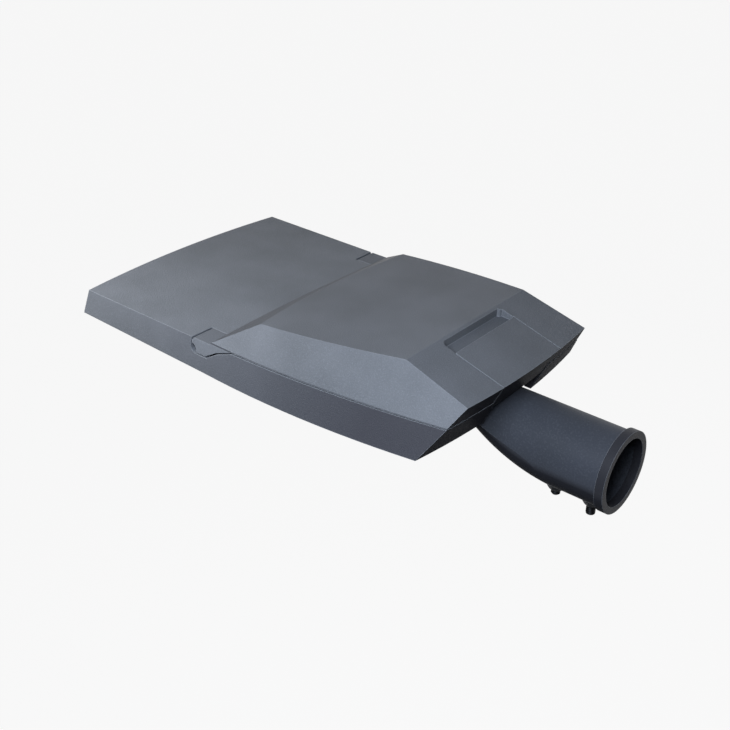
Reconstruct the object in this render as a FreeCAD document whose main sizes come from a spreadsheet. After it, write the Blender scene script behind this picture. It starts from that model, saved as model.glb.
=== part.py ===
# LED street light head: a flat front light section, a faceted gear cover hinged at its front
# corners, a latch flap let into the rear slope, and a tilting adapter for a 60 mm tube.
#
# Frame, in millimetres: the origin is the middle of the adapter's mouth, +X runs out of that
# mouth along its bore, +Z is up, and the head is symmetric about Y = 0. The light section
# points towards -X.
#
# Order of the file: sizes, drawing helpers, the adapter, the base housing, the parts under
# it, the gear inside it, the gear cover, the latch, then the checks and the export.
import FreeCAD
import Part
import PartDesign
import Sketcher
import math
import os

Vector = FreeCAD.Vector
doc = FreeCAD.newDocument("street_light_head")

# Driving sizes: name, value, what it is
SIZES = (
    ("bore_radius", 35.0, "bore that the 60 mm tube is clamped in"),
    ("bore_depth", 75.0, "mouth to the tube's stop"),
    ("socket_radius", 39.4, "outside of the adapter"),
    ("rim_radius", 42.4, "outside of the mouth's rim"),
    ("rim_length", 9.0, "length of the mouth's rim"),
    ("bend_start_x", -54.0, "where the adapter's underside starts to rise"),
    ("bend_radius", 146.0, "centre line of the rising underside"),
    ("bend_section", 39.8, "section of the ring that shapes the underside"),
    ("neck_front_x", -185.0, "front end of the neck"),
    ("pivot_x", -158.0, "tilt pivot"),
    ("pivot_z", 33.0, "tilt pivot"),
    ("sleeve_radius", 12.0, "sleeves in the neck that carry the tilt bolts"),
    ("sleeve_inner", 20.0, "inner ends of the sleeves from the middle"),
    ("sleeve_outer", 46.6, "outer ends of the sleeves from the middle"),
    ("pivot_bolt_radius", 4.0, "tilt bolt shank"),
    ("pivot_fit", 0.08, "radial play of the tilt bolt in the boss"),
    ("duct_radius", 9.0, "cable duct through the neck"),
    ("duct_z", 25.0, "height of that duct"),
    ("clamp_front_x", -68.0, "front clamp screw"),
    ("clamp_rear_x", -28.0, "rear clamp screw"),
    ("clamp_radius", 5.0, "clamp screw"),
    ("clamp_front_low", 55.5, "free end of the front clamp screw below the bore axis"),
    ("clamp_rear_low", 60.5, "free end of the rear clamp screw below the bore axis"),
    ("clamp_tip", 35.3, "inner end of the clamp screws below the bore axis"),
    ("clamp_boss_radius", 10.5, "spot-faced pad under each lock nut"),
    ("clamp_boss_low", 42.0, "face of that pad below the bore axis"),
    ("nut_height", 6.0, "clamp lock nut"),
    ("nut_radius", 9.2, "clamp lock nut over its corners"),
    ("under_z", 20.0, "lower edge of the base housing"),
    ("panel_z", 50.0, "front panel and sealing rim"),
    ("front_x", -590.5, "front corners of the panel"),
    ("panel_half", 148.0, "half width of the panel"),
    ("front_bow", 1100.0, "radius of the bowed front edge"),
    ("seam_x", -401.0, "front end of the seam between housing and cover"),
    ("seam_half", 147.5, "half width there"),
    ("rim_bow", 1203.0, "radius of the rim's sides"),
    ("tail_x", -125.5, "rear corners of the rim"),
    ("tail_half", 118.5, "half width at those corners"),
    ("wall_bow", 1076.0, "radius of the rear wall in plan"),
    ("under_front_x", -600.0, "front corners of the lower edge"),
    ("under_front_half", 150.5, "half width there"),
    ("under_mid_half", 156.5, "half width of the lower edge beside the hinges"),
    ("under_bow", 1064.0, "radius of the lower edge's sides"),
    ("under_tail_x", -142.8, "rear corners of the lower edge"),
    ("under_tail_half", 140.0, "half width there"),
    ("under_wall_bow", 930.0, "radius of the lower rear edge"),
    ("well_floor_z", 23.5, "floor of the gear compartment"),
    ("well_front_x", -388.0, "front wall of the compartment"),
    ("well_front_half", 126.0, "half width at that wall"),
    ("well_wide_x", -362.0, "where the compartment reaches its full width"),
    ("well_wide_half", 136.5, "half width there"),
    ("well_tail_x", -134.0, "rear corners of the compartment"),
    ("well_tail_half", 109.0, "half width there"),
    ("well_draft", 7.0, "how much wider the compartment is at its floor"),
    ("bay_front_x", -217.5, "front face of the adapter bay's walls"),
    ("bay_half", 57.0, "outside of the bay's side walls"),
    ("bay_inner_x", -209.5, "inner face of the bay's front wall"),
    ("bay_inner_half", 47.6, "inside of the bay's side walls"),
    ("mouth_low_half", 43.8, "half width of the bay's rear mouth at the lower edge"),
    ("mouth_high_half", 49.0, "the same at the rim"),
    ("keeper_x", -132.8, "latch keepers"),
    ("keeper_z", 39.5, "latch keepers"),
    ("keeper_radius", 2.5, "latch keepers"),
    ("keeper_inner", 41.5, "inner ends of the keepers from the middle"),
    ("light_front_x", -586.0, "front of the glass recess"),
    ("light_rear_x", -437.0, "rear of the glass recess"),
    ("light_half", 138.0, "half width of the glass recess"),
    ("light_ledge_z", 33.0, "ledge that the glass seal seats on"),
    ("light_step", 14.0, "width of that ledge"),
    ("light_roof_z", 46.0, "roof of the light chamber"),
    ("axis_x", -416.5, "cover hinge"),
    ("axis_z", 45.5, "cover hinge"),
    ("hinge_pin_radius", 3.0, "cover hinge pins"),
    ("hinge_pin_inner", 107.0, "inner ends of the hinge pins from the middle"),
    ("hinge_pin_outer", 142.0, "outer ends of the hinge pins from the middle"),
    ("pin_fit", 0.08, "radial play of the pins in the parts that turn on them"),
    ("ear_inner", 119.5, "inner faces of the cover's hinge ears"),
    ("ear_front_x", -426.0, "front faces of the ears"),
    ("ear_low_z", 36.3, "lower faces of the ears"),
    ("ear_round", 8.0, "lower front rounding of the ears"),
    ("ear_gap", 1.2, "gap around the ears"),
    ("ear_side_gap", 0.5, "gap between the ears' inner faces and the housing"),
    ("web_inner", 141.5, "inner face of the web that runs from ear to rim"),
    ("cover_z", 51.2, "lower edge of the cover"),
    ("foot_x", -401.0, "foot of the front ramp at the sides"),
    ("foot_half", 147.0, "half width there"),
    ("foot_bow", 2400.0, "radius of the ramp's foot"),
    ("hood_x", -357.0, "front corners of the cover's top"),
    ("hood_z", 77.9, "height there"),
    ("hood_half", 118.0, "half width there"),
    ("hood_slope", 5.44, "rise of the top towards the rear, degrees"),
    ("hood_front_bow", 737.0, "radius of the top's front edge"),
    ("ridge_bow", 978.0, "radius of the top's side edges"),
    ("bend_run", 159.7, "start of the bend in the side edges, along the top"),
    ("bend_half", 103.6, "half width there"),
    ("top_run", 170.8, "length of the top"),
    ("top_tail_half", 101.8, "half width at its rear edge"),
    ("slope_foot_x", -35.0, "where the rear slope would meet the cover's lower level"),
    ("slope_foot_half", 110.6, "half width there"),
    ("wall_level_z", 73.3, "level at which the rear wall's place is stated"),
    ("wall_corner_x", -115.4, "the wall at that level, 130 mm from the middle"),
    ("wall_corner_half", 130.0, "half width of that chord"),
    ("wall_lean", 0.5115, "undercut of the rear wall per millimetre of height"),
    ("shell", 3.3, "thickness of the cover's top"),
    ("void_front_x", -388.0, "front of the hollow at the rim"),
    ("void_front_half", 125.0, "half width there"),
    ("void_wide_x", -360.0, "where the hollow reaches its full width"),
    ("void_wide_half", 135.0, "half width there"),
    ("void_mid_x", -240.0, "side of the hollow, half way"),
    ("void_mid_half", 129.0, "half width there"),
    ("void_tail_x", -136.0, "rear of the hollow"),
    ("void_tail_half", 107.0, "half width there"),
    ("void_top_front", 8.0, "front of the hollow's top, along the top"),
    ("void_top_half", 105.0, "half width there"),
    ("void_top_wide", 25.0, "where that top reaches its full width"),
    ("void_top_wide_half", 112.0, "half width there"),
    ("void_top_mid", 112.0, "side of the hollow's top, half way"),
    ("void_top_mid_half", 104.0, "half width there"),
    ("void_top_tail", 163.0, "rear of the hollow's top"),
    ("void_top_tail_half", 98.0, "half width there"),
    ("skirt_front_x", -217.5, "front face of the wall round the latch well"),
    ("skirt_back_x", -211.0, "inner face of that wall"),
    ("skirt_half", 57.0, "outside of the latch well's side walls"),
    ("latch_well_half", 52.2, "inside of the latch well"),
    ("scoop_x", -183.5, "front edge of the finger recess"),
    ("scoop_half", 51.0, "half width of the finger recess"),
    ("scoop_round", 3.5, "rounding of that recess's front corners"),
    ("lip_x", -166.0, "front edge of the latch flap"),
    ("flap_half", 51.2, "half width of the flap"),
    ("flap_low_z", 41.2, "lower edge of the flap's apron"),
    ("flap_low_half", 46.6, "half width there"),
    ("flap_thick", 3.0, "flap"),
    ("latch_x", -121.0, "latch pivot"),
    ("latch_z", 66.0, "latch pivot"),
    ("latch_pin_radius", 2.5, "latch pin"),
    ("latch_eye_radius", 6.5, "eyes of the flap round the latch pin"),
    ("hook_inner", 40.6, "inner faces of the hook arms from the middle"),
    ("hook_outer", 45.4, "outer faces of the hook arms"),
    ("hook_inner_radius", 32.3, "inner edge of the hook's nose from the latch pivot"),
    ("hook_outer_radius", 36.0, "outer edge of the nose"),
    ("seal_width", 3.6, "cover seal"),
    ("seal_top", 51.0, "top of the cover seal"),
    ("seal_depth", 2.5, "groove of the cover seal"),
    ("glass_gap", 9.0, "glass edge to the side of its recess"),
    ("glass_thick", 4.0, "tempered glass"),
    ("frame_low_z", 22.5, "outer face of the glass frame"),
    ("window_inset", 17.0, "frame's window from the side of the recess"),
    ("board_thick", 1.6, "light-source board"),
    ("tray_z", 28.0, "underside of the gear tray"),
    ("tray_thick", 1.5, "gear tray"),
)


class Size:
    """A length together with the sheet cells that it is worked out from."""

    def __init__(self, value, text):
        self.value = float(value)
        self.text = text

    def __add__(self, other):
        other = as_size(other)
        return Size(self.value + other.value, "(%s + %s)" % (self.text, other.text))

    def __sub__(self, other):
        other = as_size(other)
        return Size(self.value - other.value, "(%s - %s)" % (self.text, other.text))

    def __mul__(self, other):
        other = as_size(other)
        return Size(self.value * other.value, "(%s * %s)" % (self.text, other.text))

    def __neg__(self):
        return Size(-self.value, "(-1 * %s)" % self.text)


def as_size(value):
    if isinstance(value, Size):
        return value
    return Size(value, repr(float(value)))


class Cells:
    """The driving sizes by name."""


sheet = doc.addObject("Spreadsheet::Sheet", "Sizes")
cells = Cells()
for row, (name, value, note) in enumerate(SIZES, start=1):
    sheet.set("A%d" % row, name)
    sheet.set("B%d" % row, str(value))
    sheet.setAlias("B%d" % row, name)
    sheet.set("C%d" % row, note)
    setattr(cells, name, Size(value, "Sizes.%s" % name))
doc.recompute()
S = cells


# Drawing helpers

def bind(item, prop, size):
    """Sets a property and ties it to the sheet."""
    size = as_size(size)
    item.setExpression(prop, size.text)


def new_body(label):
    body = doc.addObject("PartDesign::Body", label + "_body")
    body.Label = label
    return body


def new_sketch(body, name, role, level=0.0):
    """A sketch on one of the body's origin planes, moved along +Z, +X or +Y by level."""
    sketch = body.newObject("Sketcher::SketchObject", name)
    plane = [item for item in body.Origin.OriginFeatures if item.Role == role][0]
    sketch.AttachmentSupport = [(plane, "")]
    sketch.MapMode = "FlatFace"
    level = as_size(level)
    if role == "XZ_Plane":
        level = -level
    sketch.AttachmentOffset = FreeCAD.Placement(Vector(0, 0, level.value), FreeCAD.Rotation())
    bind(sketch, "AttachmentOffset.Base.z", level)
    return sketch


def pin_point(sketch, edge, end, point):
    """Ties one end of an edge to its place from the sketch's origin."""
    for kind, size in (("DistanceX", point[0]), ("DistanceY", point[1])):
        size = as_size(size)
        index = sketch.addConstraint(Sketcher.Constraint(kind, -1, 1, edge, end, size.value))
        sketch.setExpression("Constraints[%d]" % index, size.text)


def outline(sketch, points, bows=None):
    """A closed outline through points; bows maps an edge's number to (radius, side).

    Side +1 bows the edge to the right of its direction of travel, -1 to the left.
    """
    bows = bows or {}
    count = len(points)
    first = None
    for number in range(count):
        start = [as_size(item) for item in points[number]]
        stop = [as_size(item) for item in points[(number + 1) % count]]
        a = Vector(start[0].value, start[1].value, 0)
        b = Vector(stop[0].value, stop[1].value, 0)
        if number in bows:
            radius, side = bows[number]
            half = (b - a).Length / 2
            rise = radius.value - math.sqrt(radius.value ** 2 - half ** 2)
            along = (b - a).normalize()
            out = Vector(along.y, -along.x, 0) * (rise * side)
            edge = Part.Arc(a, (a + b) * 0.5 + out, b)
        else:
            edge = Part.LineSegment(a, b)
        index = sketch.addGeometry(edge, False)
        if first is None:
            first = index
    for number in range(count):
        edge = first + number
        following = first + (number + 1) % count
        tip = 2
        start_tip = 1
        if number in bows and bows[number][1] < 0:
            tip = 1
        nxt = (number + 1) % count
        if nxt in bows and bows[nxt][1] < 0:
            start_tip = 2
        sketch.addConstraint(Sketcher.Constraint("Coincident", edge, tip, following, start_tip))
        pin_point(sketch, following, start_tip, points[nxt])
        if number in bows:
            radius = bows[number][0]
            index = sketch.addConstraint(Sketcher.Constraint("Radius", edge, radius.value))
            sketch.setExpression("Constraints[%d]" % index, radius.text)


def round_spot(sketch, x, y, radius):
    """A circle tied to the sheet."""
    x, y, radius = as_size(x), as_size(y), as_size(radius)
    circle = Part.Circle(Vector(x.value, y.value, 0), Vector(0, 0, 1), radius.value)
    index = sketch.addGeometry(circle, False)
    pin_point(sketch, index, 3, (x, y))
    number = sketch.addConstraint(Sketcher.Constraint("Radius", index, radius.value))
    sketch.setExpression("Constraints[%d]" % number, radius.text)


def six_spot(sketch, x, y, radius):
    """A hexagon over its corners, tied to the sheet."""
    x, y, radius = as_size(x), as_size(y), as_size(radius)
    outline(sketch, [(x + radius * math.cos(math.radians(60 * n)),
                      y + radius * math.sin(math.radians(60 * n))) for n in range(6)])


def pad(body, name, sketch, length, both=False, back=False):
    """Adds material from a sketch; both spreads the length to each side of it."""
    item = body.newObject("PartDesign::Pad", name)
    item.Profile = sketch
    bind(item, "Length", length)
    item.SideType = "Symmetric" if both else "One side"
    item.Reversed = back
    doc.recompute()
    return item


def pocket(body, name, sketch, length, both=False, back=False, lean=None):
    """Cuts a sketch out of the body and checks that it removed material."""
    before = body.Shape.Volume
    item = body.newObject("PartDesign::Pocket", name)
    item.Profile = sketch
    bind(item, "Length", length)
    item.SideType = "Symmetric" if both else "One side"
    item.Reversed = back
    if lean is not None:
        item.UseCustomVector = True
        item.Direction = lean
    doc.recompute()
    if body.Shape.Volume > before - 1.0:
        raise ValueError("%s in %s cut nothing" % (name, body.Label))
    return item


def loft(body, name, lower, upper, cut=False):
    """A ruled form between two outlines, added or cut away."""
    kind = "PartDesign::SubtractiveLoft" if cut else "PartDesign::AdditiveLoft"
    item = body.newObject(kind, name)
    item.Profile = lower
    item.Sections = [upper]
    item.Ruled = True
    doc.recompute()
    return item


def mirrored(points):
    """The other half of a symmetric outline, so that it runs on from the first half."""
    return [(x, -as_size(y)) for x, y in reversed(points)]


def place(item, x, y, z, rotation=None):
    """Puts a primitive at a place tied to the sheet."""
    x, y, z = as_size(x), as_size(y), as_size(z)
    rotation = rotation or FreeCAD.Rotation()
    item.Placement = FreeCAD.Placement(Vector(x.value, y.value, z.value), rotation)
    bind(item, "Placement.Base.x", x)
    bind(item, "Placement.Base.y", y)
    bind(item, "Placement.Base.z", z)


TO_Y = FreeCAD.Rotation(Vector(1, 0, 0), -90)
TO_X = FreeCAD.Rotation(Vector(0, 1, 0), 90)
UPRIGHT = FreeCAD.Rotation()


def rod(name, radius, length, x, y, z, turn=UPRIGHT):
    """A round bar that starts at a point and runs along +Z, +X or +Y."""
    item = doc.addObject("Part::Cylinder", name)
    bind(item, "Radius", radius)
    bind(item, "Height", length)
    place(item, x, y, z, turn)
    return item


def hexagon(name, radius, height, x, y, z, turn=UPRIGHT):
    """A six-sided bar over its corners."""
    item = doc.addObject("Part::Prism", name)
    item.Polygon = 6
    bind(item, "Circumradius", radius)
    bind(item, "Height", height)
    place(item, x, y, z, turn)
    return item


def block(name, length, width, height, x, y, z):
    """A box from its low corner."""
    item = doc.addObject("Part::Box", name)
    bind(item, "Length", length)
    bind(item, "Width", width)
    bind(item, "Height", height)
    place(item, x, y, z)
    return item


def join(name, items, label=None):
    item = doc.addObject("Part::MultiFuse", name)
    item.Shapes = items
    item.Refine = True
    if label:
        item.Label = label
    return item


def cut(name, base, tool, label=None):
    item = doc.addObject("Part::Cut", name)
    item.Base = base
    item.Tool = tool
    item.Refine = True
    if label:
        item.Label = label
    return item


def group(label, items):
    item = doc.addObject("Part::Compound", label + "_set")
    item.Links = items
    item.Label = label
    return item


nodes = []


def rear_wall(body, z_note):
    """Cuts a body to the bowed, undercut rear wall of the head."""
    sketch = new_sketch(body, "rear_wall_plan_" + z_note, "XY_Plane", S.wall_level_z)
    corner = (S.wall_corner_x, S.wall_corner_half)
    far = (as_size(10.0), S.wall_corner_half)
    outline(sketch, [corner, (corner[0], -corner[1]), (far[0], -far[1]), far],
            {0: (S.wall_bow, -1)})
    return pocket(body, "rear_wall_" + z_note, sketch, 130.0, both=True,
                  lean=Vector(S.wall_lean.value, 0, 1))


# Adapter: a straight socket, then a neck whose underside rises towards the head, which is what
# a straight tube and a ring of nearly the same section have in common
socket = rod("socket_tube", S.socket_radius, -S.bend_start_x, S.bend_start_x, 0, 0, TO_X)
straight = rod("neck_tube", S.socket_radius, S.bend_start_x - S.neck_front_x, S.neck_front_x, 0, 0,
               TO_X)
ring = doc.addObject("Part::Torus", "neck_ring")
bind(ring, "Radius1", S.bend_radius)
bind(ring, "Radius2", S.bend_section)
ring.Angle3 = 90.0
place(ring, S.bend_start_x, 0, S.bend_radius,
      FreeCAD.Rotation(Vector(1, 0, 0), 90) * FreeCAD.Rotation(Vector(0, 0, 1), 180))
neck = doc.addObject("Part::Common", "neck")
neck.Base = straight
neck.Tool = ring
rim = rod("mouth_rim", S.rim_radius, S.rim_length, -S.rim_length, 0, 0, TO_X)
pads = [rod("clamp_pad_%d" % n, S.clamp_boss_radius, S.clamp_boss_low, x, 0, -S.clamp_boss_low)
        for n, x in enumerate((S.clamp_front_x, S.clamp_rear_x))]
casting = join("adapter_casting", [socket, neck, rim] + pads)
bore = rod("bore", S.bore_radius, S.bore_depth + 1.0, -S.bore_depth, 0, 0, TO_X)
duct = rod("cable_duct", S.duct_radius, 130.0, S.neck_front_x - 5.0, 0, S.duct_z, TO_X)
taps = [rod("clamp_tap_%d" % n, S.clamp_radius, S.clamp_boss_low + 5.0, x, 0,
            -S.clamp_boss_low - 5.0) for n, x in enumerate((S.clamp_front_x, S.clamp_rear_x))]
sleeve_holes = [rod("sleeve_hole_%d" % n, S.sleeve_radius, 40.0, S.pivot_x, y, S.pivot_z, TO_Y)
                for n, y in enumerate((S.sleeve_inner, -S.sleeve_inner - 40.0))]
core = rod("neck_core", 21.0, 46.0, S.neck_front_x + 66.0, 0, 0, TO_X)
hollows = join("adapter_hollows", [bore, core, duct] + taps + sleeve_holes)
pole_adapter = cut("adapter", casting, hollows, "pole_adapter")
nodes.append(pole_adapter)

# Sleeves pressed into the neck from both sides, which carry the tilt bolts
sleeves = []
for n, sign in enumerate((1, -1)):
    sleeve_y = S.sleeve_inner if sign > 0 else -S.sleeve_outer
    hole_y = S.sleeve_inner + 4.6 if sign > 0 else -S.sleeve_outer - 2.0
    sleeve = rod("sleeve_%d" % n, S.sleeve_radius, S.sleeve_outer - S.sleeve_inner, S.pivot_x,
                 sleeve_y, S.pivot_z, TO_Y)
    hole = rod("sleeve_bore_%d" % n, S.pivot_bolt_radius + S.pivot_fit,
               S.sleeve_outer - S.sleeve_inner - 2.6, S.pivot_x, hole_y, S.pivot_z, TO_Y)
    sleeves.append(cut("tilt_sleeve_%d" % n, sleeve, hole))
nodes.append(group("tilt_sleeves", sleeves))

# Clamp screws and their lock nuts, pointing straight down
screws = []
nuts = []
for n, (x, low) in enumerate(((S.clamp_front_x, S.clamp_front_low),
                              (S.clamp_rear_x, S.clamp_rear_low))):
    screws.append(rod("clamp_screw_%d" % n, S.clamp_radius - 0.1, low - S.clamp_tip, x, 0, -low))
    nut = hexagon("nut_%d" % n, S.nut_radius, S.nut_height, x, 0, -S.clamp_boss_low - S.nut_height)
    hole = rod("nut_hole_%d" % n, S.clamp_radius, S.nut_height + 2.0, x, 0,
               -S.clamp_boss_low - S.nut_height - 1.0)
    nuts.append(cut("lock_nut_%d" % n, nut, hole))
nodes.append(group("clamp_screws", screws))
nodes.append(group("clamp_nuts", nuts))

# Base housing
base = new_body("base_housing")
foot = new_sketch(base, "lower_edge", "XY_Plane", S.under_z)
half = [(S.under_front_x, S.under_front_half), (S.seam_x, S.under_mid_half),
        (S.under_tail_x, S.under_tail_half)]
outline(foot, half + mirrored(half),
        {1: (S.under_bow, -1), 2: (S.under_wall_bow, -1), 3: (S.under_bow, -1),
         5: (S.front_bow, -1)})
top = new_sketch(base, "rim_edge", "XY_Plane", S.panel_z)
half = [(S.front_x, S.panel_half), (S.seam_x, S.seam_half), (S.tail_x, S.tail_half)]
outline(top, half + mirrored(half),
        {1: (S.rim_bow, -1), 2: (S.wall_bow, -1), 3: (S.rim_bow, -1), 5: (S.front_bow, -1)})
loft(base, "hull", foot, top)

# Gear compartment, open at the top, wider at its floor
low = new_sketch(base, "well_floor", "XY_Plane", S.well_floor_z)
high = new_sketch(base, "well_rim", "XY_Plane", S.panel_z)
half = [(S.well_front_x, S.well_front_half), (S.well_wide_x, S.well_wide_half),
        (S.well_tail_x, S.well_tail_half)]
outline(high, half + mirrored(half), {1: (S.rim_bow, -1), 3: (S.rim_bow, -1)})
half = [(S.well_front_x, S.well_front_half), (S.well_wide_x, S.well_wide_half + 4.0),
        (S.well_tail_x - S.well_draft * 1.6, S.well_tail_half + S.well_draft * 2.6)]
outline(low, half + mirrored(half), {1: (S.under_bow, -1), 3: (S.under_bow, -1)})
loft(base, "gear_well", low, high, cut=True)

# Walls of the bay that the adapter swings in, then the bay itself and its rear mouth
side = new_sketch(base, "bay_walls", "XZ_Plane")
outline(side, [(S.bay_front_x, S.under_z), (as_size(-137.0), S.under_z), (as_size(-121.8), S.panel_z),
               (S.bay_front_x, S.panel_z)])
pad(base, "bay_block", side, S.bay_half * 2, both=True)
plan = new_sketch(base, "bay_plan", "XY_Plane", S.under_z)
outline(plan, [(S.bay_inner_x, S.bay_inner_half), (S.bay_inner_x, -S.bay_inner_half),
               (as_size(-141.0), -S.bay_inner_half), (as_size(-141.0), S.bay_inner_half)])
pocket(base, "bay", plan, 40.0, back=True)
gate = new_sketch(base, "mouth_section", "YZ_Plane", -142.0)
low_z = S.under_z - 1.0
high_z = S.panel_z + 1.0
outline(gate, [(S.mouth_low_half, low_z), (S.mouth_high_half, high_z),
               (-S.mouth_high_half, high_z), (-S.mouth_low_half, low_z)])
pocket(base, "bay_mouth", gate, 50.0, back=True)
for sign in (1, -1):
    spot = new_sketch(base, "keeper_%s" % ("far" if sign > 0 else "near"), "XZ_Plane",
                      S.keeper_inner * sign)
    round_spot(spot, S.keeper_x, S.keeper_z, S.keeper_radius)
    pad(base, "keeper_pin_%s" % ("far" if sign > 0 else "near"), spot, 9.0, back=sign > 0)

# Light chamber with the ledge for the glass
plan = new_sketch(base, "glass_recess", "XY_Plane", S.under_z)
outline(plan, [(S.light_front_x, S.light_half), (S.light_front_x, -S.light_half),
               (S.light_rear_x, -S.light_half), (S.light_rear_x, S.light_half)])
pocket(base, "glass_seat", plan, S.light_ledge_z - S.under_z, back=True)
plan = new_sketch(base, "chamber_plan", "XY_Plane", S.under_z)
inner_half = S.light_half - S.light_step
outline(plan, [(S.light_front_x + S.light_step, inner_half),
               (S.light_front_x + S.light_step, -inner_half),
               (S.light_rear_x - S.light_step, -inner_half),
               (S.light_rear_x - S.light_step, inner_half)])
pocket(base, "light_chamber", plan, S.light_roof_z - S.under_z, back=True)

# Pockets for the cover's hinge ears, and the notches for the webs behind them
for sign in (1, -1):
    word = "far" if sign > 0 else "near"
    ear = new_sketch(base, "ear_seat_" + word, "XZ_Plane", (S.ear_inner - S.ear_side_gap) * sign)
    x0 = S.ear_front_x - S.ear_gap
    z0 = S.ear_low_z - S.ear_gap
    outline(ear, [(x0, S.panel_z + 3.0), (x0, z0 + 9.2), (x0 + 9.2, z0), (as_size(-402.6), z0),
                  (as_size(-396.9), S.panel_z + 3.0)], {1: (S.ear_round + S.ear_gap, 1)})
    pocket(base, "ear_pocket_" + word, ear, 60.0, back=sign < 0)
    web = new_sketch(base, "web_seat_" + word, "XZ_Plane", (S.web_inner - S.ear_gap) * sign)
    outline(web, [(as_size(-404.0), S.panel_z + 3.0), (as_size(-404.0), z0), (as_size(-402.6), z0),
                  (as_size(-389.5), as_size(43.4)), (as_size(-366.6), as_size(51.2)),
                  (as_size(-366.6), S.panel_z + 3.0)])
    pocket(base, "web_notch_" + word, web, 60.0, back=sign < 0)
    bore_spot = new_sketch(base, "hinge_hole_" + word, "XZ_Plane", (S.ear_inner + 1.0) * sign)
    round_spot(bore_spot, S.axis_x, S.axis_z, S.hinge_pin_radius)
    pocket(base, "hinge_bore_" + word, bore_spot, S.ear_inner + 1.0 - S.hinge_pin_inner,
           back=sign > 0)
    bolt_spot = new_sketch(base, "pivot_hole_" + word, "XZ_Plane", (S.bay_half + 1.0) * sign)
    round_spot(bolt_spot, S.pivot_x, S.pivot_z, S.pivot_bolt_radius)
    pocket(base, "pivot_bore_" + word, bolt_spot, 14.0, back=sign > 0)

# Groove for the cover seal: its centre line runs round the rim and round the adapter bay
seal_half = [(-393.5, 119.0), (-368.5, 137.4), (-354.0, 139.9), (-300.0, 138.3), (-240.0, 132.4),
             (-190.0, 124.4), (-129.8, 112.0), (-129.8, 54.6), (-214.2, 54.6)]


def seal_ring(sketch, grow=0.0):
    """Both edges of the seal, each half a seal's width from the centre line."""
    line = seal_half + [(x, -y) for x, y in reversed(seal_half)]
    for side in (1, -1):
        ring_points = []
        for number, point in enumerate(line):
            before = Vector(*line[number - 1], 0)
            here = Vector(*point, 0)
            after = Vector(*line[(number + 1) % len(line)], 0)
            u = (here - before).normalize()
            w = (after - here).normalize()
            n1 = Vector(-u.y, u.x, 0)
            n2 = Vector(-w.y, w.x, 0)
            miter = (n1 + n2) * (1.0 / (1.0 + n1.dot(n2)))
            reach = 0.5 * side
            width = S.seal_width + grow
            ring_points.append((as_size(here.x) + width * (miter.x * reach),
                                as_size(here.y) + width * (miter.y * reach)))
        outline(sketch, ring_points)


groove = new_sketch(base, "seal_groove", "XY_Plane", S.panel_z)
seal_ring(groove)
pocket(base, "seal_channel", groove, S.seal_depth)

TRAY_SPOTS = [(x, y) for x in (-376.0, -230.0) for y in (-95.0, 95.0)]
spots = new_sketch(base, "tray_boss_plan", "XY_Plane", S.well_floor_z - 0.5)
for x, y in TRAY_SPOTS:
    six_spot(spots, x, y, 5.4)
pad(base, "tray_bosses", spots, S.tray_z - S.well_floor_z + 0.5)
spots = new_sketch(base, "tray_tap_plan", "XY_Plane", S.tray_z)
for x, y in TRAY_SPOTS:
    six_spot(spots, x, y, 2.0)
pocket(base, "tray_taps", spots, 4.5)
spot = new_sketch(base, "lead_duct_end", "YZ_Plane", -456.0)
round_spot(spot, 0.0, 38.5, 5.0)
pocket(base, "lead_duct", spot, 72.0, back=True)
GLAND_Z = 37.5
spot = new_sketch(base, "gland_hole", "YZ_Plane", S.bay_front_x - 1.0)
round_spot(spot, 0.0, GLAND_Z, 8.0)
pocket(base, "gland_bore", spot, 14.0, back=True)
VENT = (-270.0, 78.0)
spot = new_sketch(base, "vent_hole", "XY_Plane", S.under_z - 1.0)
round_spot(spot, VENT[0], VENT[1], 6.0)
pocket(base, "vent_bore", spot, 8.0, back=True)
FRAME_SPOTS = [(x, y) for x in (-582.0, -441.0) for y in (-134.0, -45.0, 45.0, 134.0)]
spots = new_sketch(base, "frame_tap_plan", "XY_Plane", S.light_ledge_z - 1.0)
for x, y in FRAME_SPOTS:
    six_spot(spots, x, y, 2.0)
pocket(base, "frame_taps", spots, 10.0, back=True)
LENS_SPOTS = [(x, y) for x in (-562.0, -461.0) for y in (-116.0, 0.0, 116.0)]
spots = new_sketch(base, "lens_tap_plan", "XY_Plane", S.light_roof_z - 1.0)
for x, y in LENS_SPOTS:
    six_spot(spots, x, y, 1.5)
pocket(base, "lens_taps", spots, 3.0, back=True)
nodes.append(base)

# Cover seal
seal = new_body("cover_gasket")
groove = new_sketch(seal, "seal_plan", "XY_Plane", S.panel_z - S.seal_depth)
seal_ring(groove)
pad(seal, "seal", groove, S.seal_top - S.panel_z + S.seal_depth)
nodes.append(seal)


# Light section: glass in its frame, seal above it, board and lens plate in the chamber
def rectangle(sketch, x0, x1, half_width):
    outline(sketch, [(x0, half_width), (x0, -as_size(half_width)), (x1, -as_size(half_width)),
                     (x1, half_width)])


glass_low = S.frame_low_z + 4.5
glass_x0 = S.light_front_x + S.glass_gap
glass_x1 = S.light_rear_x - S.glass_gap
glass_half = S.light_half - S.glass_gap
frame = new_body("glass_frame")
plan = new_sketch(frame, "frame_plan", "XY_Plane", S.frame_low_z)
rectangle(plan, S.light_front_x + 0.5, S.light_rear_x - 0.5, S.light_half - 0.5)
pad(frame, "frame_block", plan, S.light_ledge_z - S.frame_low_z)
plan = new_sketch(frame, "glass_pocket_plan", "XY_Plane", glass_low)
rectangle(plan, glass_x0, glass_x1, glass_half)
pocket(frame, "glass_pocket", plan, 20.0, back=True)
plan = new_sketch(frame, "window_plan", "XY_Plane", S.frame_low_z)
rectangle(plan, S.light_front_x + S.window_inset, S.light_rear_x - S.window_inset,
          S.light_half - S.window_inset)
pocket(frame, "window", plan, 20.0, back=True)
spots = new_sketch(frame, "frame_hole_plan", "XY_Plane", S.frame_low_z)
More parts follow.
